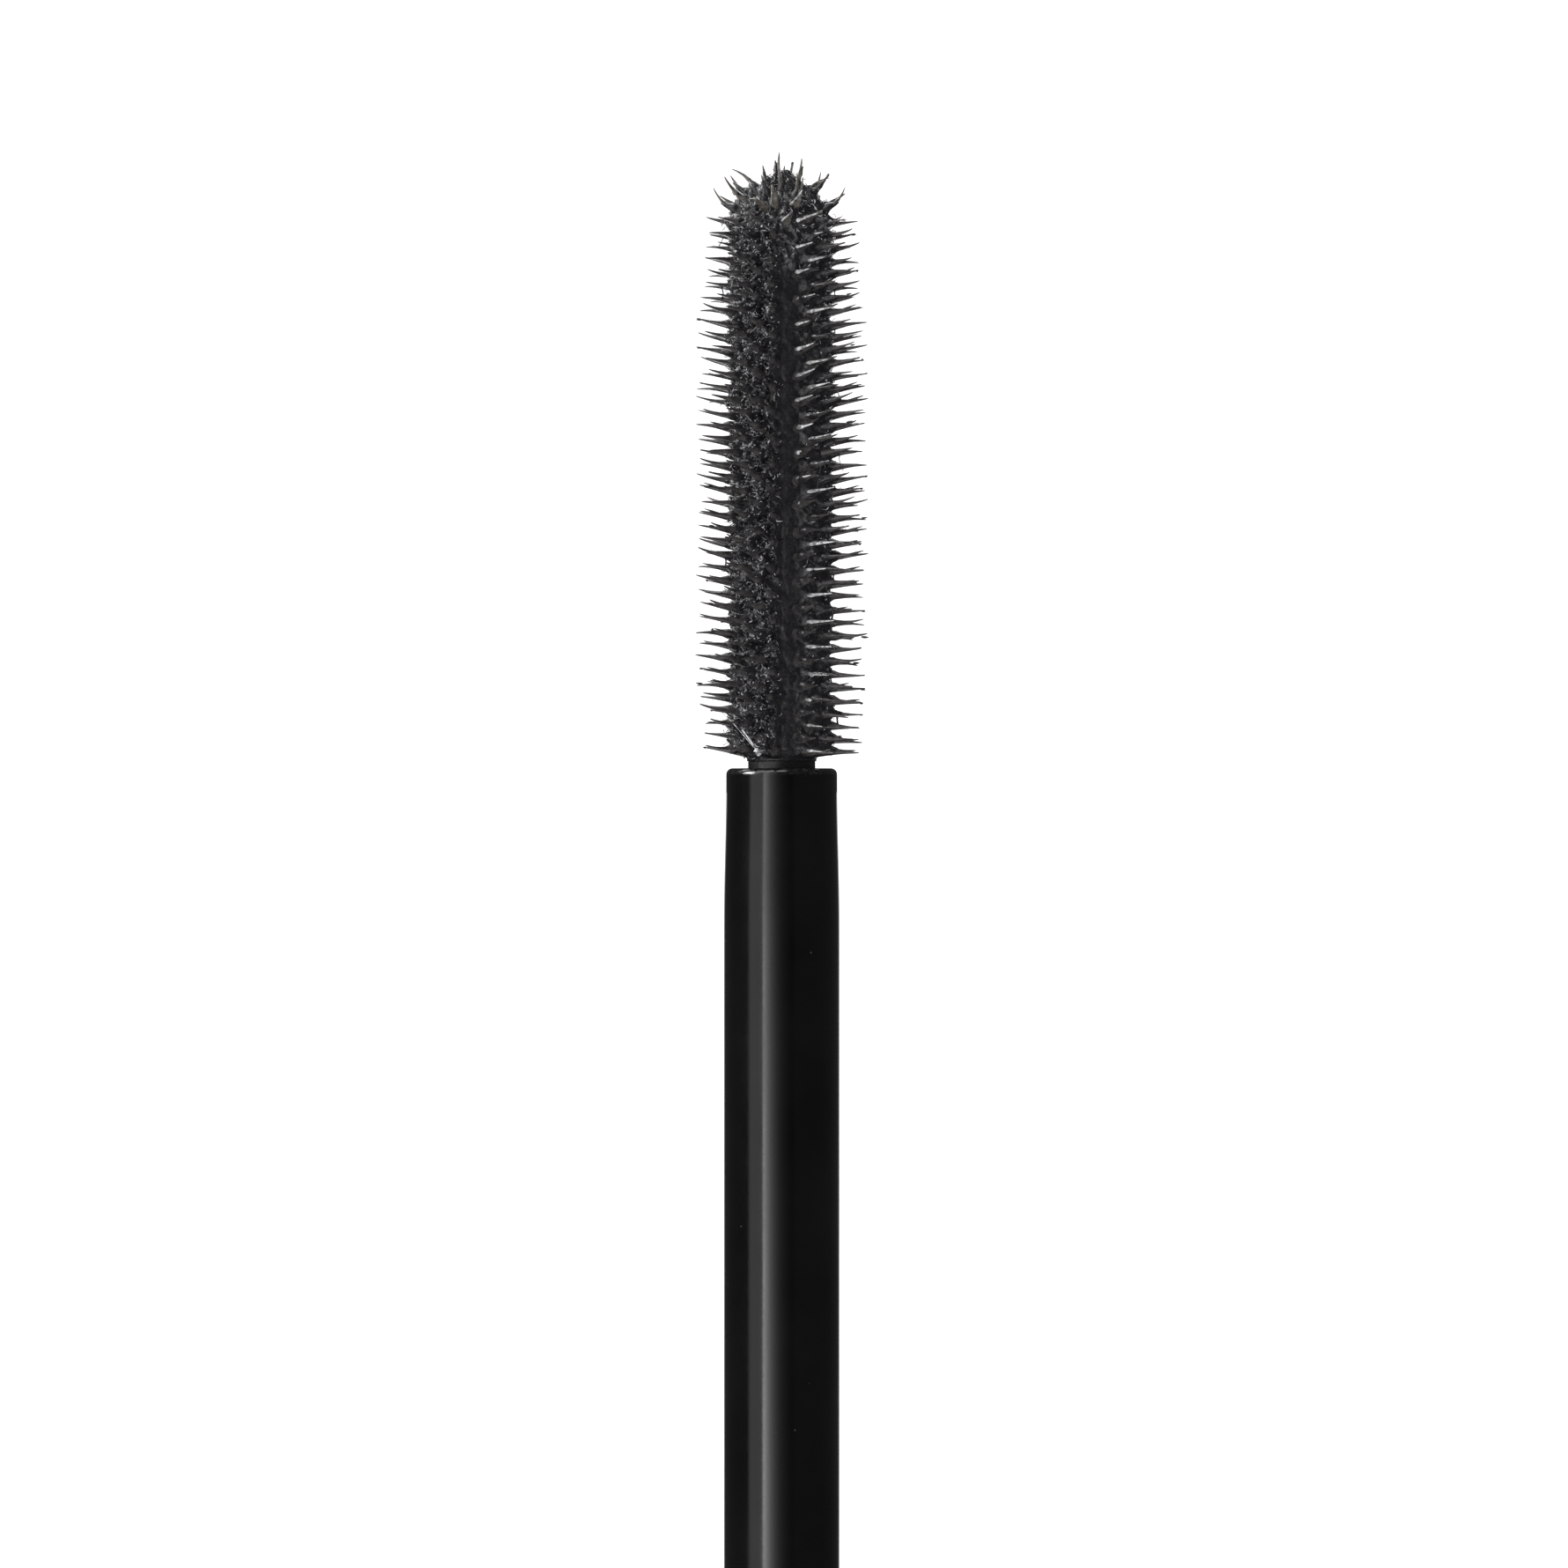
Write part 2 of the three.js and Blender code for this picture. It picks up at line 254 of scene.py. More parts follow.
brush_rubber = moulded("brush_rubber", (0.005, 0.005, 0.0058), (0.0095, 0.0092, 0.0105), 0.26, 0.42,
    grain=0.09, peel=6e-6, drawn=6e-6, patch=0.9, worn=(0.02, 0.019, 0.019), shine=0.35)
wand_y = wand_end.y / MM
core_end = [(core_radius * cos(a), dome_centre + core_radius * sin(a), 0)
    for a in np.linspace(0, pi / 2, 10)[:-1]]
brush_core = turned("brush_core", (
    (0, -8, 0), (1.05, -8, 0.1), (1.45, -7, 0.05), (1.2, -7, 0), (1.2, -5.4, 0), (1.45, -4.6, 0.05),
    (1.2, -4.6, 0), (1.2, -3, 0), (brush_neck_radius, -2.6, 0), (brush_neck_radius, 0.35, 0.1),
    (core_radius, 0.7, 0.1), *core_end, (0, dome_centre + core_radius, 0)),
    wand_y, "wand", brush_rubber)
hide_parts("brush")


# Thorns of the brush: moulded with the core, slim and springy, rows half a pitch out of step.
# Each is a long taper with a soft point. Some points are bent, split or swollen by use.
rows = 22
thorns_in_row = 21
first_angle, last_angle = radians(25), radians(350)
pitch = 1.105
first_thorn = 1.3
root_radius = 1.35
tip_lean, neck_droop = 7.5, 4


def tube_of(path, radii, sides):
    """Points and faces of a closed tube that follows a path."""
    points, faces = [], []
    path = [Vector(p) for p in path]
    side = None
    for i, here in enumerate(path):
        way = (path[min(i + 1, len(path) - 1)] - path[max(i - 1, 0)]).normalized()
        if side is None:
            side = way.orthogonal().normalized()
        side = (side - way * side.dot(way)).normalized()
        other = way.cross(side)
        for k in range(sides):
            angle = 2 * pi * k / sides
            points.append(here + (side * cos(angle) + other * sin(angle)) * radii[i])
    for i in range(len(path) - 1):
        for k in range(sides):
            a, b = i * sides + k, i * sides + (k + 1) % sides
            faces.append((a, b, b + sides, a + sides))
    faces.append(tuple(range(sides))[::-1])
    last = (len(path) - 1) * sides
    faces.append(tuple(range(last, last + sides)))
    return points, faces


def shapes_of(name, shape, sizes):
    """A collection of small shapes for a tree to place. Each is one or more tubes, made to its sizes."""
    group = bpy.data.collections.new(name)
    for i, size in enumerate(sizes):
        points, faces = [], []
        for path, radii, sides in shape(*size):
            more, round_faces = tube_of(path, radii, sides)
            faces += [tuple(k + len(points) for k in face) for face in round_faces]
            points += more
        mesh = mesh_of(f"{name}_{i}", points, faces)
        mesh.polygons.foreach_set("use_smooth", [True] * len(mesh.polygons))
        group.objects.link(bpy.data.objects.new(f"{name}_{i}", mesh))
    return group


thorn_stations = (0.0, 0.14, 0.3, 0.47, 0.63, 0.78)
thorn_girths = (0.3, 0.262, 0.21, 0.146, 0.094, 0.06)


def thorn_shape(bend, tip, fork=0.0, sway=0.0):
    """One thorn, 1 long from root to point, with its bend and its fork in millimetres."""
    girths = [*thorn_girths, 0.042, tip, tip * 0.5]
    path = [(bend * MM * max(0, z - 0.55) ** 2 / 0.2, sway * MM * z * z, z)
            for z in (*thorn_stations, 0.9, 0.97, 1.0)]
    tubes = [(path, [g * MM for g in girths], 6)]
    if fork:
        split = [(bend * MM * 0.1, sway * MM * 0.4, 0.6), (fork * MM * 0.6, 0.02 * MM, 0.78),
            (fork * MM, 0.04 * MM, 0.92)]
        tubes.append((split, [0.075 * MM, 0.05 * MM, 0.018 * MM], 5))
    return tubes


thorn_shapes = shapes_of("thorn", thorn_shape, ((0.02, 0.028), (0.07, 0.024), (-0.05, 0.026, 0, 0.04),
    (0.13, 0.03, 0, -0.04), (0.03, 0.04, 0, 0.06), (0.0, 0.022), (0.02, 0.028, 0.15),
    (-0.1, 0.03, 0, -0.06)))


def tree_of(name, sockets):
    """An empty Geometry Nodes tree with its named inputs, and those inputs ready to be joined."""
    tree = bpy.data.node_groups.new(name, "GeometryNodeTree")
    for kind, labels in sockets.items():
        for label in labels:
            tree.interface.new_socket(label, in_out="INPUT", socket_type="NodeSocket" + kind)
    tree.interface.new_socket("Made", in_out="OUTPUT", socket_type="NodeSocketGeometry")
    return tree, add(tree, "NodeGroupInput").outputs


def end_tree(tree, geometry, finish):
    """The end of a tree: every instance made real and given its finish."""
    real = add(tree, "GeometryNodeRealizeInstances", {0: geometry})
    coloured = add(tree, "GeometryNodeSetMaterial", {"Geometry": real.outputs[0], "Material": finish})
    add(tree, "NodeGroupOutput", {0: coloured.outputs[0]})


def set_out(tree, given, points, seed, rotation, scale, chosen=True):
    """One of the given shapes, picked by chance, on each chosen point. It ends the tree."""
    kinds = add(tree, "GeometryNodeCollectionInfo", {0: given["Shapes"], 1: True, 2: True})
    which = add(tree, "FunctionNodeRandomValue", {4: 0, 5: 99, 8: seed}, data_type="INT").outputs[2]
    stood = add(tree, "GeometryNodeInstanceOnPoints", {
        "Points": points, "Selection": chosen, "Instance": kinds.outputs[0], "Pick Instance": True,
        "Instance Index": which, "Rotation": rotation, "Scale": scale})
    end_tree(tree, stood.outputs[0], given["Finish"])


row_tree, given = tree_of("thorn_rows", {"Collection": ("Shapes",), "Material": ("Finish",),
    "Vector": ("Wand end",), "Int": ("Rows", "In a row", "Seed"),
    "Float": ("First angle", "Last angle", "Pitch", "First thorn", "Root radius", "Reach", "Swell", "Taper",
    "Lean at the neck", "Lean at the tip", "Droop", "Unevenness", "Out", "Stretch", "Share", "Girth")})
sums = functools.partial(calc, row_tree)


def chance(low, high, extra):
    """A random number for each thorn, with a fixed seed of its own."""
    return add(row_tree, "FunctionNodeRandomValue", {2: low, 3: high,
        8: sums("ADD", given["Seed"], extra)}).outputs[1]


def joined(x, y, z):
    """A vector from three numbers."""
    return add(row_tree, "ShaderNodeCombineXYZ", {0: x, 1: y, 2: z}).outputs[0]


def standing_out(turn, out, y):
    """A vector that reaches out from the axis at a turn, and has a y of its own."""
    return joined(sums("MULTIPLY", sums("SINE", turn), out), y, sums("MULTIPLY", sums("COSINE", turn), out))


index = add(row_tree, "GeometryNodeInputIndex").outputs[0]
dots = add(row_tree, "GeometryNodePoints", {"Count": sums("MULTIPLY", given["Rows"], given["In a row"])})
row = sums("FLOOR", sums("DIVIDE", sums("ADD", index, 0.5), given["In a row"]))
number = sums("SUBTRACT", index, sums("MULTIPLY", row, given["In a row"]))
step = sums("DIVIDE", sums("SUBTRACT", given["Last angle"], given["First angle"]),
    sums("SUBTRACT", given["Rows"], 1.0))
angle = sums("ADD", sums("MULTIPLY_ADD", row, step, given["First angle"]), chance(-0.018, 0.018, 1))
half = sums("MULTIPLY", sums("MODULO", row, 2.0), -0.5)
along = sums("MULTIPLY_ADD", sums("ADD", number, half), given["Pitch"], given["First thorn"])
along = sums("ADD", along, chance(-4e-5, 4e-5, 2))
lean = sums("ADD", spread(row_tree, along, 0.002, 0.012, given["Lean at the neck"],
    given["Lean at the tip"]), chance(-0.03, 0.03, 3))
droop = sums("MULTIPLY", spread(row_tree, along, 0.006, 0.014, given["Droop"], 0.0), sums("SINE", angle))
lean = sums("SUBTRACT", lean, droop)
turn = sums("ADD", angle, chance(-0.03, 0.03, 4))
root = standing_out(angle, given["Root radius"], along)
way = standing_out(turn, sums("COSINE", lean), sums("SINE", lean))
swelled = spread(row_tree, along, 0.001, 0.005, 0.0, given["Swell"], "SMOOTHSTEP")
tapered = spread(row_tree, along, 0.018, 0.024, 0.0, given["Taper"], "SMOOTHSTEP")
reach = sums("SUBTRACT", sums("ADD", given["Reach"], swelled), tapered)
short = sums("POWER", chance(0.0, 1.0, 5), 2.0)
reach = sums("SUBTRACT", reach, sums("MULTIPLY", short, given["Unevenness"]))
length = sums("SUBTRACT", reach, given["Root radius"])
far = add(row_tree, "ShaderNodeVectorMath", {0: way, "Scale": sums("MULTIPLY", length, given["Out"])},
    operation="SCALE").outputs[0]
spot = add(row_tree, "ShaderNodeVectorMath", {0: root, 1: far}, operation="ADD").outputs[0]
spot = add(row_tree, "ShaderNodeVectorMath", {0: spot, 1: given["Wand end"]}, operation="ADD").outputs[0]
placed = add(row_tree, "GeometryNodeSetPosition", {"Geometry": dots.outputs[0], "Position": spot})
upright = add(row_tree, "FunctionNodeAlignRotationToVector", {"Vector": way}, axis="Z")
toward_tip = add(row_tree, "FunctionNodeAlignRotationToVector", {"Rotation": upright.outputs[0],
    "Vector": (0, 1, 0)}, axis="X", pivot_axis="Z")
girth = sums("MULTIPLY", chance(0.85, 1.15, 6), given["Girth"])
tall = sums("ADD", sums("MULTIPLY", length, given["Stretch"]), sums("MULTIPLY", girth,
    sums("SUBTRACT", 1.0, given["Stretch"])))
chosen = add(row_tree, "FunctionNodeRandomValue", {6: given["Share"], 8: sums("ADD", given["Seed"], 8)},
    data_type="BOOLEAN").outputs[3]
set_out(row_tree, given, placed.outputs[0], sums("ADD", given["Seed"], 7), toward_tip.outputs[0],
        joined(girth, girth, tall), chosen)


def grown(name, tree, values, body, material, start=None):
    """Runs a tree with its named inputs and keeps the result as a plain mesh object."""
    maker = in_scene("maker", start or bpy.data.meshes.new("maker"))
    step = maker.modifiers.new("grow", "NODES")
    step.node_group = tree
    values = {**values, "Finish": material}
    for item in tree.interface.items_tree:
        if item.name in values:
            step[item.identifier] = values[item.name]
    graph = bpy.context.evaluated_depsgraph_get()
    mesh = bpy.data.meshes.new_from_object(maker.evaluated_get(graph), depsgraph=graph)
    bpy.data.objects.remove(maker)
    mesh.name = name
    return fitted(name, mesh, body, material)


thorn_rubber = moulded("thorn_rubber", (0.011, 0.0104, 0.011), (0.062, 0.056, 0.0545), 0.08, 0.26,
    grain=0.06, peel=5e-6, drawn=4e-6, patch=0.35, worn=(0.04, 0.034, 0.03))
rows_as_moulded = {"Shapes": thorn_shapes, "Rows": rows, "In a row": thorns_in_row,
    "First angle": first_angle, "Last angle": last_angle, "Pitch": pitch * MM,
    "First thorn": first_thorn * MM, "Root radius": root_radius * MM, "Reach": 3.5 * MM, "Swell": 0.26 * MM,
    "Taper": 0.42 * MM, "Lean at the neck": 0.0, "Lean at the tip": radians(tip_lean),
    "Droop": radians(neck_droop), "Unevenness": 0.3 * MM, "Out": 0.0, "Stretch": 1.0, "Share": 1.0,
    "Girth": 1.0, "Wand end": wand_end, "Seed": 5}
grown("brush_thorns", row_tree, rows_as_moulded, "wand", thorn_rubber)


# Spikes on the round end of the brush, moulded with it, fanned over the dome. They do the corners of
# the eye, so they are as long as the thorns. Use has bent and split most of them, each its own way.
spike_rings = ((26, 12, 3.2), (47, 9, 3.2), (68, 6, 3.1))
dice = random.Random(11)
spikes = []
for ring, (rise, count, spike_reach) in enumerate(spike_rings):
    for i in range(count):
        turn_by = 2 * pi * (i + 0.5 * ring + dice.uniform(-0.14, 0.14)) / count
        lift = radians(rise + dice.uniform(-5, 5))
        made = (turn_by, lift, spike_reach - dice.uniform(0, 0.35), dice.randrange(8))
        if abs(sin(turn_by)) < 0.7 and not (rise < 40 and cos(turn_by) > 0.8):
            spikes.append(made)
# Spikes to the left, to the right and in front: turn about the brush, rise, reach and shape.
side_and_front = (
    (-84, 58, 3.42, 1), (-70, 72, 2.95, 4), (-95, 85, 3.4, 7), (80, 88, 2.7, 4), (95, 81, 3.05, 5),
    (84, 72, 3.25, 7), (97, 56, 3.05, 1), (82, 49, 3.2, 2), (95, 30, 3.2, 4), (84, 26, 3.3, 0),
    (-96, 45, 3.3, 7), (-83, 39, 3.42, 3), (-98, 29, 3.1, 4), (-85, 24, 3.46, 0),
    (-9, 33, 3.3, 4), (21, 32, 3.3, 0), (7, 10, 3.4, 4), (31, 11, 3.45, 4), (-24, 28, 3.25, 1))
spikes += [(radians(a), radians(b), long, kind) for a, b, long, kind in side_and_front]
front_spikes = spikes[-5:]

spike_shapes = shapes_of("spike", thorn_shape, ((0.4, 0.03), (-0.34, 0.026, 0, 0.2), (0.04, 0.055, 0.3),
    (0.16, 0.03, 0, -0.28), (0.03, 0.03), (-0.2, 0.065, -0.26), (0.45, 0.022, 0, 0.1),
    (0.1, 0.028, 0, 0.16)))
spike_root = 1.1


def spike_line(turn_by, lift):
    """Root and direction of a spike, in millimetres on the brush."""
    way = Vector((sin(turn_by) * cos(lift), sin(lift), cos(turn_by) * cos(lift)))
    return Vector((0, dome_centre, 0)) + way * spike_root, way


def on_dome(group, stood, girth=1.2):
    """Points and faces of shapes from a group, each stood on the dome as one of the spikes is."""
    points, faces = [], []
    for turn_by, lift, long, kind in stood:
        root, way = spike_line(turn_by, lift)
        side = way.cross(Vector((0, 1, 0))).normalized() if abs(way.y) < 0.98 else Vector((1, 0, 0))
        up = side.cross(way)
        shape = group.objects[kind % len(group.objects)].data
        faces += [tuple(len(points) + k for k in p.vertices) for p in shape.polygons]
        points += [(root + way * (v.co.z * (long - spike_root))) * MM + (up * v.co.x + side * v.co.y)
            * girth + wand_end for v in shape.vertices]
    return points, faces


spike_lines = [spike_line(turn_by, lift) for turn_by, lift, _, _ in spikes]
points, faces = on_dome(spike_shapes, spikes)
# Painted light: the spikes get a paler, beige copy of the thorn rubber so the dome looks lit, though they
# are the same black elastomer.
spike_rubber_painted_light = moulded("spike_rubber_painted_light", (0.010, 0.0092, 0.0095), (0.17, 0.153, 0.134), 0.12, 0.3, grain=0.06,
    peel=5e-6, drawn=4e-6, patch=0.3, worn=(0.04, 0.034, 0.03))
piece("tip_spikes", points, faces, "wand", spike_rubber_painted_light, sharp=80)


# Formula on the brush: thick black cream that clings round every thorn root and climbs it.
# It hangs in webs between neighbours, is smooth where wiped and curdled where it has begun to dry.
coat_radius = 1.85
coat_bore = 1.25
coat_start = 0.3
coat_rows, coat_sides, dome_rows = 408, 232, 30
to_bed = coat_radius - 1.3
skin, skin_right = 0.17, 0.10
climb_width, foot_width, climb_reach, wiped_climb = 0.17, 0.3, 1.1, 0.12
web_low, web_sag, web_reach = 0.25, 0.55, 0.5
strip_middle, strip_end = 8.5, 22.0
strip_left, left_fade, strip_right, right_fade = 17, 9, 44, 36
thorn_lines = []
row_step = (last_angle - first_angle) / (rows - 1)
for r in range(rows):
    a = first_angle + r * row_step
    for k in range(thorns_in_row):
        y = first_thorn + (k - 0.5 * (r % 2)) * pitch
        droop_here = neck_droop * min(1, max(0, (14 - y) / 8)) * sin(a)
        tilt = radians(tip_lean * min(1, max(0, (y - 2) / 10)) - droop_here)
        thorn_lines.append((Vector((sin(a) * root_radius, y, cos(a) * root_radius)),
            Vector((sin(a) * cos(tilt), sin(tilt), cos(a) * cos(tilt))), r, k))


def formula_finish(name, wet, drying, deep, pale, lumps, pale_from=0.38):
    """Mascara cream: nearly black with a violet cast, wet and glossy in places, curdled in others."""
    material, tree, shader, place = new_finish(name)
    warp = cloud(tree, place, 2600.0, 3.0, distortion=1.6)
    curd = cloud(tree, place, 7000.0, 4.0, 0.62, 2.2)
    patch = cloud(tree, place, 600.0, 2.0)
    crest = calc(tree, "SUBTRACT", 1.0, calc(tree, "ABSOLUTE", calc(tree, "MULTIPLY_ADD", curd, 5.0, -2.5)))
    colour = blended(tree, spread(tree, warp, pale_from, 0.64, 0.0, 1.0), (*deep, 1), (*pale, 1))
    dull = spread(tree, calc(tree, "ADD", calc(tree, "MULTIPLY", patch, 0.6),
        calc(tree, "MULTIPLY", curd, 0.4)), 0.4, 0.6, wet, drying)
    rise = calc(tree, "ADD", calc(tree, "MULTIPLY", warp, 0.6), calc(tree, "MULTIPLY", crest, 0.25))
    feed(tree, shader, {"Base Color": colour, "Roughness": dull, "Normal": bump(tree, rise, lumps)})
    return material


cream = formula_finish("formula_cream", 0.07, 0.28, (0.0085, 0.0083, 0.0095), (0.018, 0.0175, 0.0205),
    1.4e-5)

angles = np.linspace(0, 2 * np.pi, coat_sides, endpoint=False)
arc = coat_radius * pi / 2
spots = np.concatenate([np.linspace(coat_start, dome_centre, coat_rows - dome_rows, endpoint=False),
    dome_centre + np.linspace(0, arc, dome_rows + 1)[:-1]])
lift = np.clip((spots - dome_centre) / coat_radius, 0, pi / 2)[:, None]
down = np.minimum(spots, dome_centre)[:, None]
way_x = np.sin(angles)[None, :] * np.cos(lift)
way_z = np.cos(angles)[None, :] * np.cos(lift)
way_y = np.sin(lift) * np.ones_like(way_x)
bed = np.stack([way_x * coat_radius, down + way_y * coat_radius, way_z * coat_radius], -1)
wrapped = (np.degrees(angles) + 180) % 360 - 180
left = np.clip(-np.sin(angles) * 1.6 + 0.35, 0, 1)[None, :]
thick = skin + skin_right * (1 - left) + np.zeros((len(spots), coat_sides))
dice = random.Random(23)
for start, way, *row_here in thorn_lines + spike_lines:
    hit = start + way * to_bed
    away = np.sqrt(((bed - np.array(hit)) ** 2).sum(-1))
    near = away < climb_reach
    wiped = row_here[:1] == [0] or (not row_here and way.z > 0.6)
    climb = dice.uniform(0.35, 0.85) * (wiped_climb if wiped else 1.0)
    thick[near] += (climb * np.exp(-away / climb_width) + 0.1 * np.exp(-(away / foot_width) ** 2))[near]
lines = {(r, k): (s, w) for s, w, r, k in thorn_lines}
webs = []
for (r, k), (start, way) in lines.items():
    for other, odds, low, high in (((r, k + 1), 0.16, 0.25, 0.6), ((r + 1, k), 0.3, 0.35, 0.95),
            ((r + 1, k - 1 if r % 2 else k + 1), 0.3, 0.35, 0.95)):
        if other in lines and dice.random() < odds:
            webs.append((start, way, *lines[other], dice.uniform(low, high), dice.uniform(0.05, 0.11)))
for start, way, start_b, way_b, high, width in webs:
    a = np.array(start + way * to_bed)
    b = np.array(start_b + way_b * to_bed)
    along_web = np.clip(((bed - a) @ (b - a)) / ((b - a) @ (b - a)), 0, 1)
    away = np.sqrt(((bed - a - along_web[..., None] * (b - a)) ** 2).sum(-1))
    film = web_low + high * (1 - web_sag * np.sin(np.pi * along_web)) * np.exp(-(away / width) ** 2)
    near = away < web_reach
    thick[near] = np.maximum(thick[near], film[near])
rough_bed = np.empty_like(thick)
for i in range(len(spots)):
    for j in range(coat_sides):
        p = Vector(bed[i, j])
        rough_bed[i, j] = noise.turbulence(p * 3.1, 4, False, amplitude_scale=0.6, frequency_scale=2.3)
rough_bed -= rough_bed.mean()
thick += rough_bed * (0.15 + 0.25 * left)
ragged = np.array([[noise.noise(Vector((s * 1.7, 0.3, 4.0))) * 5] for s in spots])
off_strip = wrapped[None, :] - strip_middle
right_of_it = (strip_right + 0.5 * ragged - off_strip) / right_fade
left_of_it = (strip_left + ragged + off_strip) / left_fade
bare = np.clip(np.where(off_strip > 0, right_of_it, left_of_it), 0, 1)
bare = bare * bare * (3 - 2 * bare)
bare = bare * np.clip((strip_end - spots[:, None]) / 0.6, 0, 1)
thick = thick * (1 - bare) + (0.035 + 0.03 * rough_bed) * bare
started = np.clip((spots[:, None] - 0.42 - 0.1 * ragged / 5) / 0.45, 0, 1)
thick = thick * started - 0.1 * (1 - started)
out = core_radius + thick
coat = np.stack([way_x * out, down + way_y * out + np.clip(thick - 0.4, 0, 2) * 0.1, way_z * out], -1)
shell = [tuple(p) for p in coat.reshape(-1, 3)]
faces = []
rings = [list(range(i * coat_sides, (i + 1) * coat_sides)) for i in range(len(spots))]
for y in (coat_start, 12.0, dome_centre):
    rings.append(list(range(len(shell), len(shell) + coat_sides)))
    shell += [(coat_bore * sin(a), y, coat_bore * cos(a)) for a in angles]
shell += [(0, dome_centre + coat_bore, 0), (0, dome_centre + core_radius + 0.3, 0)]
order = [len(spots) + 2, len(spots) + 1, len(spots)] + list(range(len(spots)))
next_side = [*range(1, coat_sides), 0]
for a, b in zip(order, order[1:]):
    faces += [(rings[a][i - 1], rings[b][i - 1], rings[b][i], rings[a][i]) for i in next_side]
for i in next_side:
    faces.append((rings[order[0]][i], len(shell) - 2, rings[order[0]][i - 1]))
    faces.append((rings[len(spots) - 1][i - 1], len(shell) - 1, rings[len(spots) - 1][i]))
formula_coat = piece("formula_coat", [Vector(p) * MM + wand_end for p in shell], faces, "wand",
    cream, sharp=180)
curly = np.zeros(len(shell), np.float32)
domed = np.clip((spots[:, None] - dome_centre + 1.5) / 1.5, 0, 1)
curly[:thick.size] = (np.clip(left * 1.25 - 0.15, 0.14 + 0.5 * domed, 1) * (1 - bare) * started).reshape(-1)
mark(formula_coat.data, "curdled", curly)


# Curds of drying formula: short curled crumbs and fibres that lie all over the cream, flecked near-white as
# painted glints.
# They are thickest on the left side and on the dome, and stand a hair proud of it.
def curl_shape(bend, long, girth, rise):
    """A short bent crumb, in millimetres, lying flat."""
    path = []
    for i in range(4):
        t = i / 3
        swing = bend * t
        path.append((long * sin(swing) / bend * MM, long * (1 - cos(swing)) / bend * MM,
            (0.01 + rise * sin(pi * t * 0.8)) * MM))
    return [(path, [girth * MM * k for k in (0.5, 1.25, 1.2, 0.4)], 3)]


curls = shapes_of("curl", curl_shape, ((1.6, 0.26, 0.016, 0.07), (3.0, 0.22, 0.014, 0.1),
    (0.9, 0.36, 0.013, 0.05), (2.2, 0.3, 0.015, 0.14), (0.5, 0.18, 0.024, 0.04), (0.7, 0.12, 0.03, 0.03)))
curl_tree, given = tree_of("formula_curls", {
    "Geometry": ("Cream",), "Collection": ("Shapes",), "Material": ("Finish",), "Int": ("Seed",),
    "Float": ("How many per square metre", "Smallest", "Largest")})
curdled = add(curl_tree, "GeometryNodeInputNamedAttribute", {"Name": "curdled"}).outputs[0]
strewn = add(curl_tree, "GeometryNodeDistributePointsOnFaces", {
    "Mesh": given["Cream"], 4: calc(curl_tree, "MULTIPLY", curdled, given["How many per square metre"]),
    "Seed": given["Seed"]})
turned_by = add(curl_tree, "FunctionNodeRandomValue", {0: (-0.5, -0.5, 0.0), 1: (0.5, 0.5, 6.283), 8: 4},
    data_type="FLOAT_VECTOR").outputs[0]
tossed = add(curl_tree, "FunctionNodeRotateRotation", {0: strewn.outputs["Rotation"],
    1: add(curl_tree, "FunctionNodeEulerToRotation", {0: turned_by}).outputs[0]},
    rotation_space="LOCAL").outputs[0]
scale = add(curl_tree, "FunctionNodeRandomValue", {2: given["Smallest"], 3: given["Largest"],
    8: 9}).outputs[1]
set_out(curl_tree, given, strewn.outputs[0], 3, tossed, scale)
# Painted glints: the pale share of this finish stands in for highlights on the black cream.
curd = formula_finish("formula_curd_painted_glints", 0.12, 0.35, (0.014, 0.014, 0.0155), (0.7, 0.69, 0.74), 6e-6,
    pale_from=0.49)
grown("formula_curls", curl_tree, {"Shapes": curls, "How many per square metre": 2.3e7, "Smallest": 0.5,
    "Largest": 1.2, "Seed": 8}, "wand", curd, start=formula_coat.data.copy())


# Beads of formula on the thorns: small drops at the points and lumps part way down.
# They are what is left when the wiper's lip lets go of the brush.
def drop_shape(wide, tall, lop):
    """A drop in millimetres, centred on the thorn's axis."""
    stations = [-1.0, -0.75, -0.3, 0.2, 0.65, 1.0]
    girths = [0.25, 0.7, 1.0, 0.95, 0.6, 0.15]
    return [([(lop * MM * (1 - z * z), 0, z * tall * MM) for z in stations],
        [g * wide * MM for g in girths], 8)]


drops = shapes_of("drop", drop_shape, ((0.045, 0.06, 0.01), (0.04, 0.1, 0.02), (0.055, 0.05, 0.0),
    (0.045, 0.15, -0.01)))
grown("formula_beads", row_tree, {
    **rows_as_moulded, "Shapes": drops, "Out": 0.96, "Stretch": 0.0, "Share": 0.2},
    "wand", cream)
lumps = shapes_of("lump", drop_shape, ((0.21, 0.42, 0.03), (0.19, 0.5, 0.04), (0.22, 0.36, 0.05),
    (0.2, 0.45, 0.0)))
grown("formula_lumps", row_tree, {
    **rows_as_moulded, "Shapes": lumps, "Out": 0.38, "Stretch": 0.0, "Share": 0.75},
    "wand", cream)


# Painted highlight on the two rows beside the bare strip and on the front spikes: a near-white film laid
# along the upper-left flank of each thorn, standing in for the gloss streak there. Every film starts in a
# drop at the root and thins out towards the point.
def highlight_film_shape(first, last, drop, thin):
    """A pale film along one flank of a thorn 1 long, the painted highlight, with its thickness in
    millimetres.
    """
    path, girths = [], []
    for i in range(7):
        t = i / 6
        z = first + (last - first) * t
        wall = float(np.interp(z, (*thorn_stations, 1), (*thorn_girths, 0.02)))
        path.append((wall * 0.12 * MM, wall * 0.72 * MM, z))
        girths.append((drop * exp(-(t / 0.22) ** 2) + thin * (1 - t) ** 0.7 + 0.012) * MM)
    girths[0] *= 0.5
    return [(path, girths, 6)]


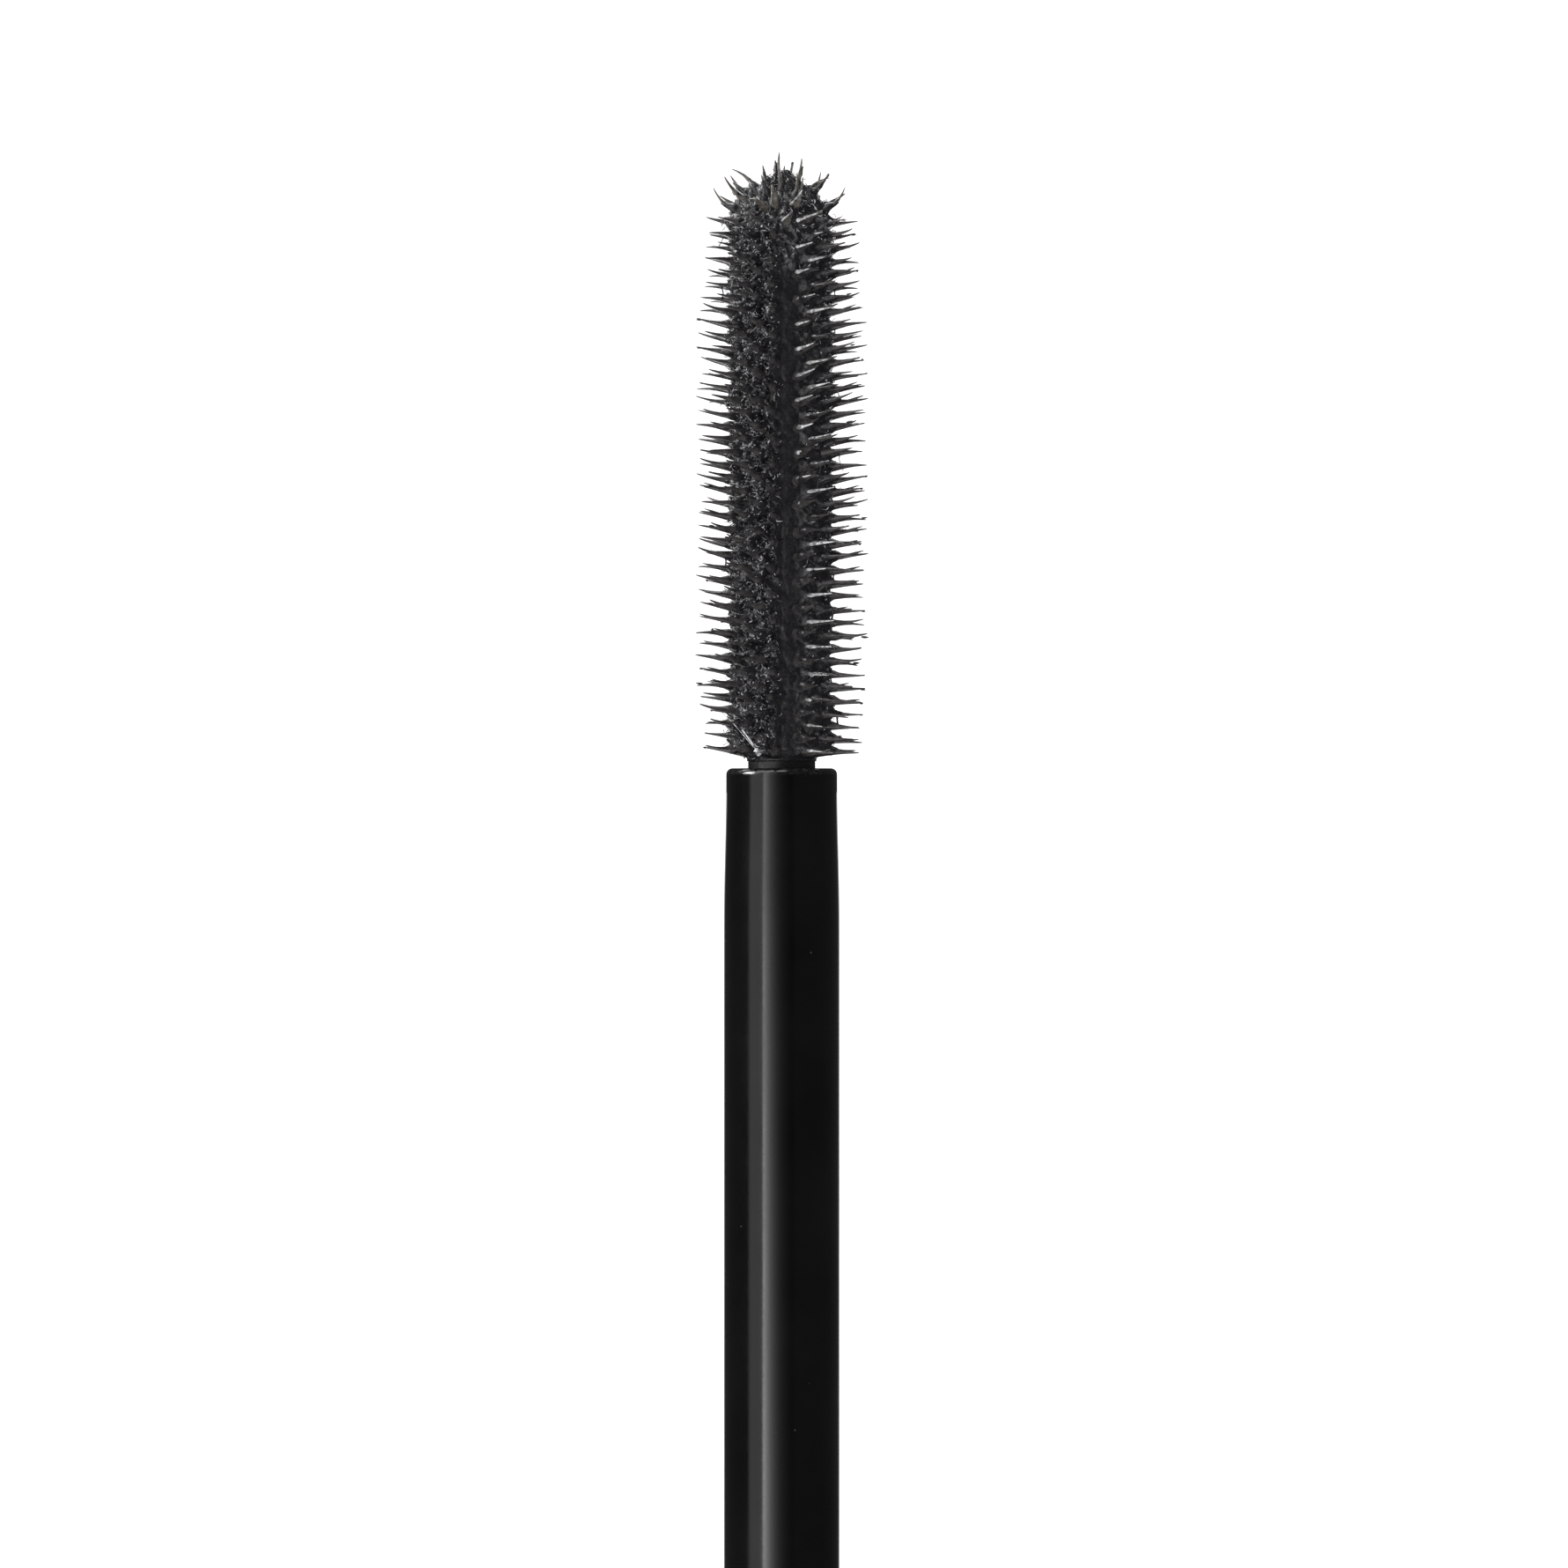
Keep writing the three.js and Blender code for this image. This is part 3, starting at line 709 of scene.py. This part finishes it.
highlight_films = shapes_of("film", highlight_film_shape, ((0.24, 0.88, 0.055, 0.06), (0.27, 0.8, 0.065, 0.055),
    (0.22, 0.74, 0.05, 0.06), (0.25, 0.94, 0.045, 0.055)))
# Painted highlight: near-white colour in place of the gloss streak on each thorn's lit flank.
painted_highlight_finish = formula_finish("formula_painted_highlight_film", 0.1, 0.24, (0.2, 0.2, 0.205), (0.8, 0.8, 0.81), 3e-6)
for highlight_name, highlight_row_angle, skipped, share in (("formula_film_near", first_angle, 9.0, 0.95),
        ("formula_film_far", first_angle + row_step, -0.5, 0.8)):
    grown(highlight_name, row_tree, {**rows_as_moulded, "Rows": 1, "In a row": thorns_in_row - int(skipped),
        "First angle": highlight_row_angle, "First thorn": (first_thorn + skipped * pitch) * MM, "Shapes": highlight_films,
        "Share": share}, "wand", painted_highlight_finish)
points, faces = on_dome(highlight_films, front_spikes)
piece("formula_film_tip", points, faces, "wand", painted_highlight_finish, sharp=80)


# Clots of formula round the spikes of the tip: the wiper's lip lets go of them last, so they keep the
# most. Each clot is lumpy, thick at the dome and gone before the point.
def clot_shape(seed, top, thick):
    """A lumpy sleeve round a thorn 1 long, with its thickness in millimetres."""
    dice = random.Random(seed)
    stations = np.linspace(0.2, top, 9)
    path = [(dice.uniform(-0.03, 0.03) * MM, dice.uniform(-0.03, 0.03) * MM, z) for z in stations]
    girths = [thick * (1 - 0.78 * (z - 0.2) / (top - 0.2)) * dice.uniform(0.75, 1.2) * MM for z in stations]
    return [(path, girths[:-1] + [girths[-1] * 0.3], 7)]


clots = shapes_of("clot", clot_shape, ((3, 0.76, 0.36), (4, 0.68, 0.42), (5, 0.86, 0.32), (6, 0.72, 0.4),
    (7, 0.9, 0.3)))
points, faces = on_dome(clots, spikes[:-len(front_spikes)], 1.0)
piece("formula_clots", points, faces, "wand", cream, sharp=80)


# Strands of formula: threads that the cream draws from thorn to thorn as the brush leaves the wiper.
# They sag between their ends, and a few have let go at one end and curl in the air; these few are
# near-white, a painted highlight.
strand_points, strand_edges, strand_girths = [], [], []


def strand(a, b, sag, girth, steps=7):
    """A sagging thread between two points in millimetres on the brush."""
    for i in range(steps):
        t = i / (steps - 1)
        at = a.lerp(b, t)
        inward = Vector((-at.x, 0, -at.z)).normalized() * sag * sin(pi * t)
        strand_points.append(Vector((at + inward) * MM) + wand_end)
        strand_girths.append(girth * MM * (1 - 0.45 * sin(pi * t)))
        if i:
            strand_edges.append((len(strand_points) - 2, len(strand_points) - 1))


dice = random.Random(31)
for (r, k), (start, way) in lines.items():
    for other, odds in (((r, k + 1), 0.05), ((r + 1, k), 0.2), ((r + 1, k - 1 if r % 2 else k + 1), 0.2)):
        if other in lines and dice.random() < odds:
            start_b, way_b = lines[other]
            high = dice.uniform(0.6, 1.25)
            strand(start + way * high, start_b + way_b * (high + dice.uniform(-0.35, 0.35)),
                   dice.uniform(0.0, 0.16), dice.uniform(0.03, 0.075))


def strand_lines():
    """The strands so far, as a mesh of lines with a girth at each point. It starts the lists afresh."""
    mesh = mesh_of("strand_lines", strand_points, [], strand_edges)
    mark(mesh, "girth", strand_girths)
    for used in (strand_points, strand_edges, strand_girths):
        used.clear()
    return mesh


drawn_strands = strand_lines()
# Painted highlight: the loose strands below are made near-white with the film finish.
for start, bow, end, girth in (((-1.7, 1.65, 1.9), (-1.35, 1.2, 2.15), (-1.05, 0.72, 2.15), 0.05),
        ((-2.56, 2.4, 1.35), (-2.1, 1.95, 1.8), (-1.2, 0.9, 2.2), 0.022),
        ((-1.1, 0.78, 2.15), (-1.02, 0.68, 2.2), (-0.96, 0.6, 2.15), 0.14)):
    strand(Vector(start), Vector(bow), 0.0, girth, 5)
    strand(Vector(bow), Vector(end), 0.0, girth, 5)
highlight_strands = strand_lines()
strand_tree, given = tree_of("formula_strands", {
    "Geometry": ("Lines",), "Int": ("Sides",), "Float": ("Thickness",), "Material": ("Finish",)})
curve = add(strand_tree, "GeometryNodeMeshToCurve", {0: given["Lines"]})
ring = add(strand_tree, "GeometryNodeCurvePrimitiveCircle", {"Resolution": given["Sides"], "Radius": 1.0})
girth = calc(strand_tree, "MULTIPLY", add(strand_tree, "GeometryNodeInputNamedAttribute",
    {"Name": "girth"}).outputs[0], given["Thickness"])
swept = add(strand_tree, "GeometryNodeCurveToMesh", {
    "Curve": curve.outputs[0], "Profile Curve": ring.outputs[0], "Scale": girth, "Fill Caps": True})
soft = add(strand_tree, "GeometryNodeSetShadeSmooth", {0: swept.outputs[0]})
end_tree(strand_tree, soft.outputs[0], given["Finish"])
for strand_name, strands, strand_finish in (("formula_strands", drawn_strands, cream),
        ("formula_fibres", highlight_strands, painted_highlight_finish)):
    grown(strand_name, strand_tree, {"Sides": 6, "Thickness": 1.0}, "wand",
        strand_finish, start=strands)
for group in (thorn_shapes, spike_shapes, curls, drops, lumps, highlight_films, clots):
    for shape in list(group.objects):
        bpy.data.objects.remove(shape)
    bpy.data.collections.remove(group)


# Stem: round moulded rod in black plastic, satin from its mould, drawn in a little behind a round lip.
# Its bored end grips the brush's shank, and its barbed head is pushed into the liner of the cap.
stem_radius = 2.5
lip_round = 0.27
drawn_in, drawn_from, drawn_over = 0.105, -6.8, 6.5
satin_plastic = moulded("stem_satin", (0.0012, 0.0012, 0.0013), (0.0024, 0.0024, 0.0025), 0.1, 0.19,
    grain=0.12, peel=1.2e-6, drawn=5e-7, dust=0.25, rub=0.2)
stem_rod = turned("stem_rod", (
    (0, -62.4, 0), (2.1, -62.4, 0.1), (stem_radius, -61.4, 0.05), (2.2, -61.4, 0), (2.2, -59.4, 0),
    (stem_radius, -58.4, 0.05), (2.2, -58.4, 0), (2.2, -55.7, 0), (stem_radius, -55.7, 0.1),
    *[(stem_radius - drawn_in * (3 * t * t - 2 * t ** 3), drawn_from + drawn_over * t, 0)
      for t in np.linspace(0, 1, 14)],
    *[(2.125 + lip_round * cos(a), -lip_round + lip_round * sin(a), -1)
      for a in np.linspace(0, pi / 2, 9)[1:]],
    (1.6, 0, 0.12), (1.6, -8.4, 0), (0, -8.4, 0)),
    wand_y, "wand", satin_plastic, sides=128)
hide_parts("stem")


# Inner cap: dull black liner moulded in polypropylene, with one thread inside and a socket for the stem.
# It is pressed into the outer cap and held there by its fit.
thread_pitch, thread_height, thread_root, thread_crest = 3.0, 0.75, 1.1, 0.5
cap_bore = 6.45


def thread(start_y, from_turn, to_turn, wall, way):
    """A ridge for turned(): how far the thread stands off its wall at an angle and a y."""
    def relief(angle, radius, y):
        if abs(radius - wall) > 0.01:
            return 0.0
        rise = 0.0
        for whole in range(int(to_turn) + 2):
            turn_at = angle / (2 * pi) + whole
            if from_turn <= turn_at <= to_turn:
                off = abs(y - start_y - turn_at * thread_pitch)
                ramp = (thread_root / 2 - off) / (thread_root / 2 - thread_crest / 2)
                ends = min(1, (turn_at - from_turn) / 0.05, (to_turn - turn_at) / 0.05)
                rise = max(rise, min(1, ramp) * ends)
        return way * thread_height * rise
    return relief


def wall_of(radius, from_y, to_y, count=70):
    """Closely spaced rings of a threaded wall."""
    return [(radius, y, 0) for y in np.linspace(from_y, to_y, count)]


liner_plastic = moulded("liner_plastic", (0.010, 0.010, 0.0105), (0.018, 0.018, 0.0185), 0.4, 0.6,
    grain=0.16, peel=8e-6)
cap_liner = turned("cap_liner", ((0, -62.7, 0), (2.65, -62.7, 0), (2.65, -54.7, 0.15),
    (cap_bore, -54.7, 0.2), *wall_of(cap_bore, -50.5, -44.5), (cap_bore, -40.6, 0.25), (7.3, -40.6, 0.15),
    (7.3, -63.4, 0.1), (6.5, -64.2, 0.1), (0, -64.2, 0)), wand_y, "wand", liner_plastic,
    relief=thread(-49.2, 0.2, 0.98, cap_bore, -1))
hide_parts("inner_cap")


# Outer cap: the handle. Injection-moulded in black, gloss lacquered, one piece with a round-edged end.
# It is pressed over the liner, flush with the collar when the mascara is shut.
outer_radius = 8.5
gloss_shell = moulded("shell_gloss", (0.0045, 0.0045, 0.0047), (0.0065, 0.0065, 0.0068), 0.07, 0.15,
    grain=0.8, peel=7e-7, drawn=3e-7, dust=0.4, coat=0.6)
cap_outer = turned("cap_outer", ((0, -86, 0), (outer_radius, -86, 0.9), (outer_radius, -40, 0.25),
    (7.45, -40, 0.1), (7.45, -84.5, 0.2), (0, -84.5, 0)), wand_y, "wand", gloss_shell, sides=160)
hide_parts("cap_shell")


# Slug: a turned steel weight dropped into the closed end of the cap before the liner goes in.
# Its only task is heft. Its faces keep the lathe's rings.
slug_steel = moulded("slug_steel", (0.38, 0.38, 0.39), (0.5, 0.5, 0.51), 0.28, 0.42, grain=0.3, drawn=3e-6,
    worn=(0.6, 0.6, 0.6), metal=1.0)
cap_slug = turned("cap_slug", ((0, -84.35, 0), (7.3, -84.35, 0.4), (7.3, -76.35, 0.4),
    (0, -76.35, 0)), wand_y, "wand", slug_steel)
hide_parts("cap_weight")


# Seal: a soft ring of foamed polyethylene, loose round the stem against the seat of the liner.
# It is squeezed on the mouth of the bottle when the mascara is shut, and is stained by the formula.
def stained(name, clean, smear, smooth, rough, grain, amount):
    """Soft natural plastic that the formula has smeared and stained."""
    material = moulded(name, clean, tuple(c * 0.86 for c in clean), smooth, rough, grain=grain, peel=1e-5,
        dust=0.0, worn=tuple(c * 0.8 for c in clean))
    tree = material.node_tree
    shader = tree.nodes["Principled BSDF"]
    smears = cloud(tree, add(tree, "ShaderNodeTexCoord").outputs["Object"], 420.0, 6.0, 0.62, 0.8)
    clung = spread(tree, smears, 0.62 - amount, 0.7 - amount, 0.0, 1.0)
    under = shader.inputs["Base Color"].links[0].from_socket
    feed(tree, shader, {"Base Color": blended(tree, clung, under, (*smear, 1)), "Subsurface Weight": 0.12,
        "Subsurface Radius": (0.0008, 0.0007, 0.0006)})
    return material


seal_foam = stained("seal_foam", (0.62, 0.61, 0.57), (0.03, 0.028, 0.03), 0.45, 0.65, 0.18, 0.06)
stem_washer = turned("stem_washer", ((2.8, -54.4, 0.12), (5.6, -54.4, 0.15), (5.6, -53.5, 0.15),
    (2.8, -53.5, 0.12)), wand_y, "washer", seal_foam)
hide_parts("sealing_washer")


# Bottle: smoke-black bottle with a threaded neck, blown in one piece. It holds the formula.
# It hangs in the outer sleeve from its shoulder.
tube_y = 30.95
bottle_plastic = moulded("bottle_smoke", (0.012, 0.012, 0.0125), (0.02, 0.02, 0.021), 0.1, 0.2, grain=0.3,
    peel=2.5e-6, coat=0.3)
bottle = turned("bottle", ((0, 69.3, 0), (5.2, 69.3, 0.2), (6, 68.5, 0.2), (6, 4.55, 0.4),
    (4.35, 2.55, 0.4), (4.35, -12.9, 0.15), (5.4, -12.9, 0.2), *wall_of(5.4, -11.9, -6.6), (5.4, 1.75, 0),
    (6.75, 1.75, 0), (7.25, 2.25, 0.2), (7.25, 69.8, 0.2), (6.25, 70.8, 0.3), (0, 70.8, 0)), tube_y, "tube",
    bottle_plastic, relief=thread(-11, 0, 1.1, 5.4, 1))
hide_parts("vial")


# Wiper: soft polyethylene insert pushed into the neck, with a flange on the mouth and a thin lip.
# The lip scrapes the stem and the brush each time they are drawn out, so its mouth is smeared black.
wiper_soft = stained("wiper_soft", (0.6, 0.595, 0.57), (0.02, 0.019, 0.021), 0.28, 0.46, 0.25, 0.14)
neck_wiper = turned("neck_wiper", ((3.8, -13.5, 0.2), (3.8, -4, 0.6), (2.56, -0.8, 0.12),
    (2.56, -0.3, 0.08), (2.84, -0.3, 0.05), (4.2, -3.9, 0.5), (4.2, -13.05, 0.1), (5.3, -13.05, 0.1),
    (5.3, -13.5, 0.15)), tube_y, "tube", wiper_soft)
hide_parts("wiper")


# Collar: a pressed and polished metal ring on the shoulder of the bottle, which the cap lands on.
# The cap has rubbed its upper edge.
collar_metal = moulded("collar_metal", (0.55, 0.555, 0.57), (0.66, 0.66, 0.67), 0.09, 0.2, grain=0.2,
    peel=1.2e-6, drawn=1e-6, worn=(0.75, 0.75, 0.76), metal=1.0)
shoulder_ring = turned("shoulder_ring", ((5.55, 0, 0.1), (outer_radius, 0, 0.22),
    (outer_radius, 1.6, 0.1), (5.55, 1.6, 0.1)), tube_y, "tube", collar_metal, sides=160)
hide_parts("collar_ring")


# Outer sleeve: a straight moulded tube in the cap's gloss black, slid over the bottle up to the collar.
# The foot closes it.
outer_sleeve = turned("outer_sleeve", ((7.4, 1.75, 0.1), (outer_radius, 1.75, 0.15),
    (outer_radius, 72.8, 0.15), (7.4, 72.8, 0.1)), tube_y, "tube", gloss_shell, sides=160)
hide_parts("tube_shell")


# Foot: a moulded plug with a skirt that snaps into the end of the sleeve, same gloss black.
# A shallow recess in its face takes the label.
foot_plug = turned("foot_plug", (
    (0, 72.95, 0), (6.05, 72.95, 0.1), (6.05, 70.95, 0.1), (7.25, 70.95, 0.2), (7.25, 72.95, 0),
    (outer_radius, 72.95, 0.1), (outer_radius, 74, 0.5), (5.7, 74, 0.12), (5.7, 73.55, 0), (0, 73.55, 0)),
    tube_y, "tube", gloss_shell, sides=160)
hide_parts("base_plug")


# Label: a blank round sticker in the recess of the foot, off-white paper with visible fibre.
# Its own glue holds it.
label_paper = moulded("label_paper", (0.62, 0.61, 0.58), (0.7, 0.69, 0.66), 0.6, 0.8, grain=0.08,
    peel=1.2e-5, dust=0.0, worn=(0.5, 0.49, 0.46))
foot_label = turned("foot_label", ((0, 73.65, 0), (5.5, 73.65, 0.05), (5.5, 73.9, 0.05),
    (0, 73.9, 0)), tube_y, "tube", label_paper)
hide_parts("base_label")


# Formula in the bottle: the same cream, a thick coat on the wall and floor, round the channel that the
# brush has worn in it.
bottle_cream = formula_finish("bottle_cream", 0.1, 0.3, (0.005, 0.005, 0.006), (0.015, 0.014, 0.018),
    1.2e-4)


def slumped(angle, radius, y):
    """The wavy inner face of the coat."""
    if radius > 5 or y > 69:
        return 0.0
    return 0.22 * noise.noise(Vector((sin(angle) * 1.4, y * 0.3, cos(angle) * 1.4)))


bottle_formula = turned("bottle_formula", ((0, 67.65, 0), (4.3, 67.65, 0),
    *[(4.85, y, 0) for y in np.linspace(66.4, 19.0, 60)], (4.85, 18, 0.3), (5.85, 18, 0.2),
    (5.85, 68.35, 0.2), (5.05, 69.15, 0.2), (0, 69.15, 0)), tube_y, "tube", bottle_cream,
    relief=slumped)
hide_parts("formula_fill")


# Studio: a pale table glowing by itself, brightest in a band under the brush and stem, a painted pool of
# light that washes out the wand's shadow; one long curved softbox above and to the left, two soft fills
# past the ends.
# The glow under the wand is the glowing table as gloss sees it, and does not show itself.
def stage_mesh(name, points, faces, strength, seen, albedo=0.0):
    """Part of the studio: a plain mesh that glows or reflects, for the kinds of ray that may see it."""
    mesh = mesh_of(name, points, faces)
    made = in_scene(name, mesh)
    material, tree, shader, place = new_finish(name)
    feed(tree, shader, {"Base Color": (albedo, albedo, albedo, 1), "Roughness": 1.0,
        "Specular IOR Level": 0.0, "Emission Color": (1, 1, 1, 1), "Emission Strength": strength})
    mesh.materials.append(material)
    for ray in ("camera", "diffuse", "glossy", "shadow"):
        setattr(made, "visible_" + ray, ray in seen)
    made.visible_transmission = made.visible_camera
    return mesh, tree, shader, place


room = 3.0
_, tree, shader, place = stage_mesh("table", [(-room, -room, 0), (room, -room, 0),
    (room, room, 0), (-room, room, 0)], [(0, 1, 2, 3)], 1.0,
    ("camera", "diffuse", "shadow"), 0.3)
split = add(tree, "ShaderNodeSeparateXYZ", {0: place}).outputs
# Painted pool of light: the table's own glow is strongest in a band under the brush and stem and fades past
# it, so the wand's shadow there washes out.
painted_pool_middle, painted_pool_half, painted_pool_end = -0.0196, 0.036, 0.06
off_centre = calc(tree, "ABSOLUTE", calc(tree, "SUBTRACT", split[1], painted_pool_middle))
glow = spread(tree, off_centre, painted_pool_half, painted_pool_end, 1.02, 0.70, "SMOOTHSTEP")
feed(tree, shader, {"Emission Strength": glow})

sky_rings, sky_sides = 12, 32
sky_points, sky_faces = [], []
for i in range(sky_rings + 1):
    for k in range(sky_sides):
        rise = pi / 2 * i / sky_rings * 0.999
        round_by = 2 * pi * k / sky_sides
        sky_points.append((room * cos(rise) * cos(round_by), room * cos(rise) * sin(round_by),
            room * sin(rise) - 0.01))
        a, b = i * sky_sides + k, i * sky_sides + (k + 1) % sky_sides
        if i < sky_rings:
            sky_faces.append((a, b, b + sky_sides, a + sky_sides))
stage_mesh("backdrop", sky_points, sky_faces, 1.0, ("camera", "diffuse"))

box_distance = 0.45
box_lengths = {-0.35: 1.9, -0.064: 1.9, -0.043: 1.6, -0.018: 1.25, 0.0: 0.85, 0.35: 0.85}
box_start = -72
box_steps = np.linspace(box_start, 24, 97)
across = len(box_lengths)
box_points = [(box_distance * sin(a), wand_end.y + y, wand_end.z + box_distance * cos(a))
    for a in np.radians(box_steps) for y in box_lengths]
box_faces = []
for i in range(len(box_steps) - 1):
    for k in range(across - 1):
        at = i * across + k
        box_faces.append((at, at + 1, at + across + 1, at + across))
softbox, tree, shader, _ = stage_mesh("softbox", box_points, box_faces, 1.0, ("diffuse", "glossy"))
band_level, line_level, line_fade = 0.92, 3.7, 11.0
level = []
for a in box_steps:
    band = band_level * np.clip((a - box_start) / 7, 0, 1) * np.clip((-34 - a) / 3, 0, 1)
    line = line_level * np.clip((a + 38.5) / 2.0, 0, 1) * np.exp(-max(0, a + 36.5) / line_fade)
    level += [band + line * gain for gain in box_lengths.values()]
mark(softbox, "level", level)
feed(tree, shader, {"Emission Strength": add(tree, "ShaderNodeAttribute",
    attribute_name="level").outputs["Fac"]})


def glow_under(name, from_x, to_x, from_y, to_y, strength):
    """A glowing patch of the table that only gloss sees."""
    z = 0.0004
    stage_mesh(name, [(from_x, from_y, z), (to_x, from_y, z), (to_x, to_y, z), (from_x, to_y, z)],
        [(0, 1, 2, 3)], strength, ("glossy",))


glow_under("glow_under_stem", -0.0055, 0.0055, -0.0585, -0.0200, 0.8)
glow_under("glow_under_brush", -0.024, 0.010, -0.0060, 0.0170, 5.0)

stage_mesh("left_softbox", [(-0.4, 0.07, 0.02), (-0.4, 0.3, 0.02), (-0.4, 0.07, 0.26), (-0.4, 0.3, 0.34)],
    [(0, 1, 3, 2)], 22.0, ("glossy",))
stage_mesh("top_softbox", [(-0.4, 0.3, 0.02), (-0.2, 0.42, 0.02), (0.05, 0.42, 0.02), (-0.4, 0.3, 0.4),
    (-0.2, 0.42, 0.4), (0.05, 0.42, 0.4)], [(0, 1, 4, 3), (1, 2, 5, 4)], 3.2, ("glossy",))
for lamp_name, spot, wide, power in (("tip_light", (-0.25, 0.45, 0.3), 0.2, 0.6),
        ("end_fill", (0.14, -0.62, 0.42), 0.4, 2.2)):
    lamp = bpy.data.lights.new(lamp_name, "AREA")
    lamp.size, lamp.energy = wide, power
    fill = in_scene(lamp_name, lamp)
    fill.location = spot
    fill.rotation_euler = (Vector((0, 0, 0)) - fill.location).to_track_quat("-Z", "Y").to_euler()
    fill.visible_camera = False

world = bpy.data.worlds.new("studio")
world.use_nodes = True
world.node_tree.nodes["Background"].inputs[0].default_value = (0.06, 0.06, 0.061, 1)
scene.world = world
scene.view_settings.view_transform = "Standard"

eye = bpy.data.cameras.new("camera")
eye.lens = 200
eye.sensor_width = 36
eye.clip_start = 0.01
camera = bpy.data.objects.new("camera", eye)
frame_width = 0.0677
camera.location = (0.0001, -0.01963, wand_end.z + frame_width * eye.lens / eye.sensor_width)
scene.collection.objects.link(camera)
bpy.context.scene.camera = camera
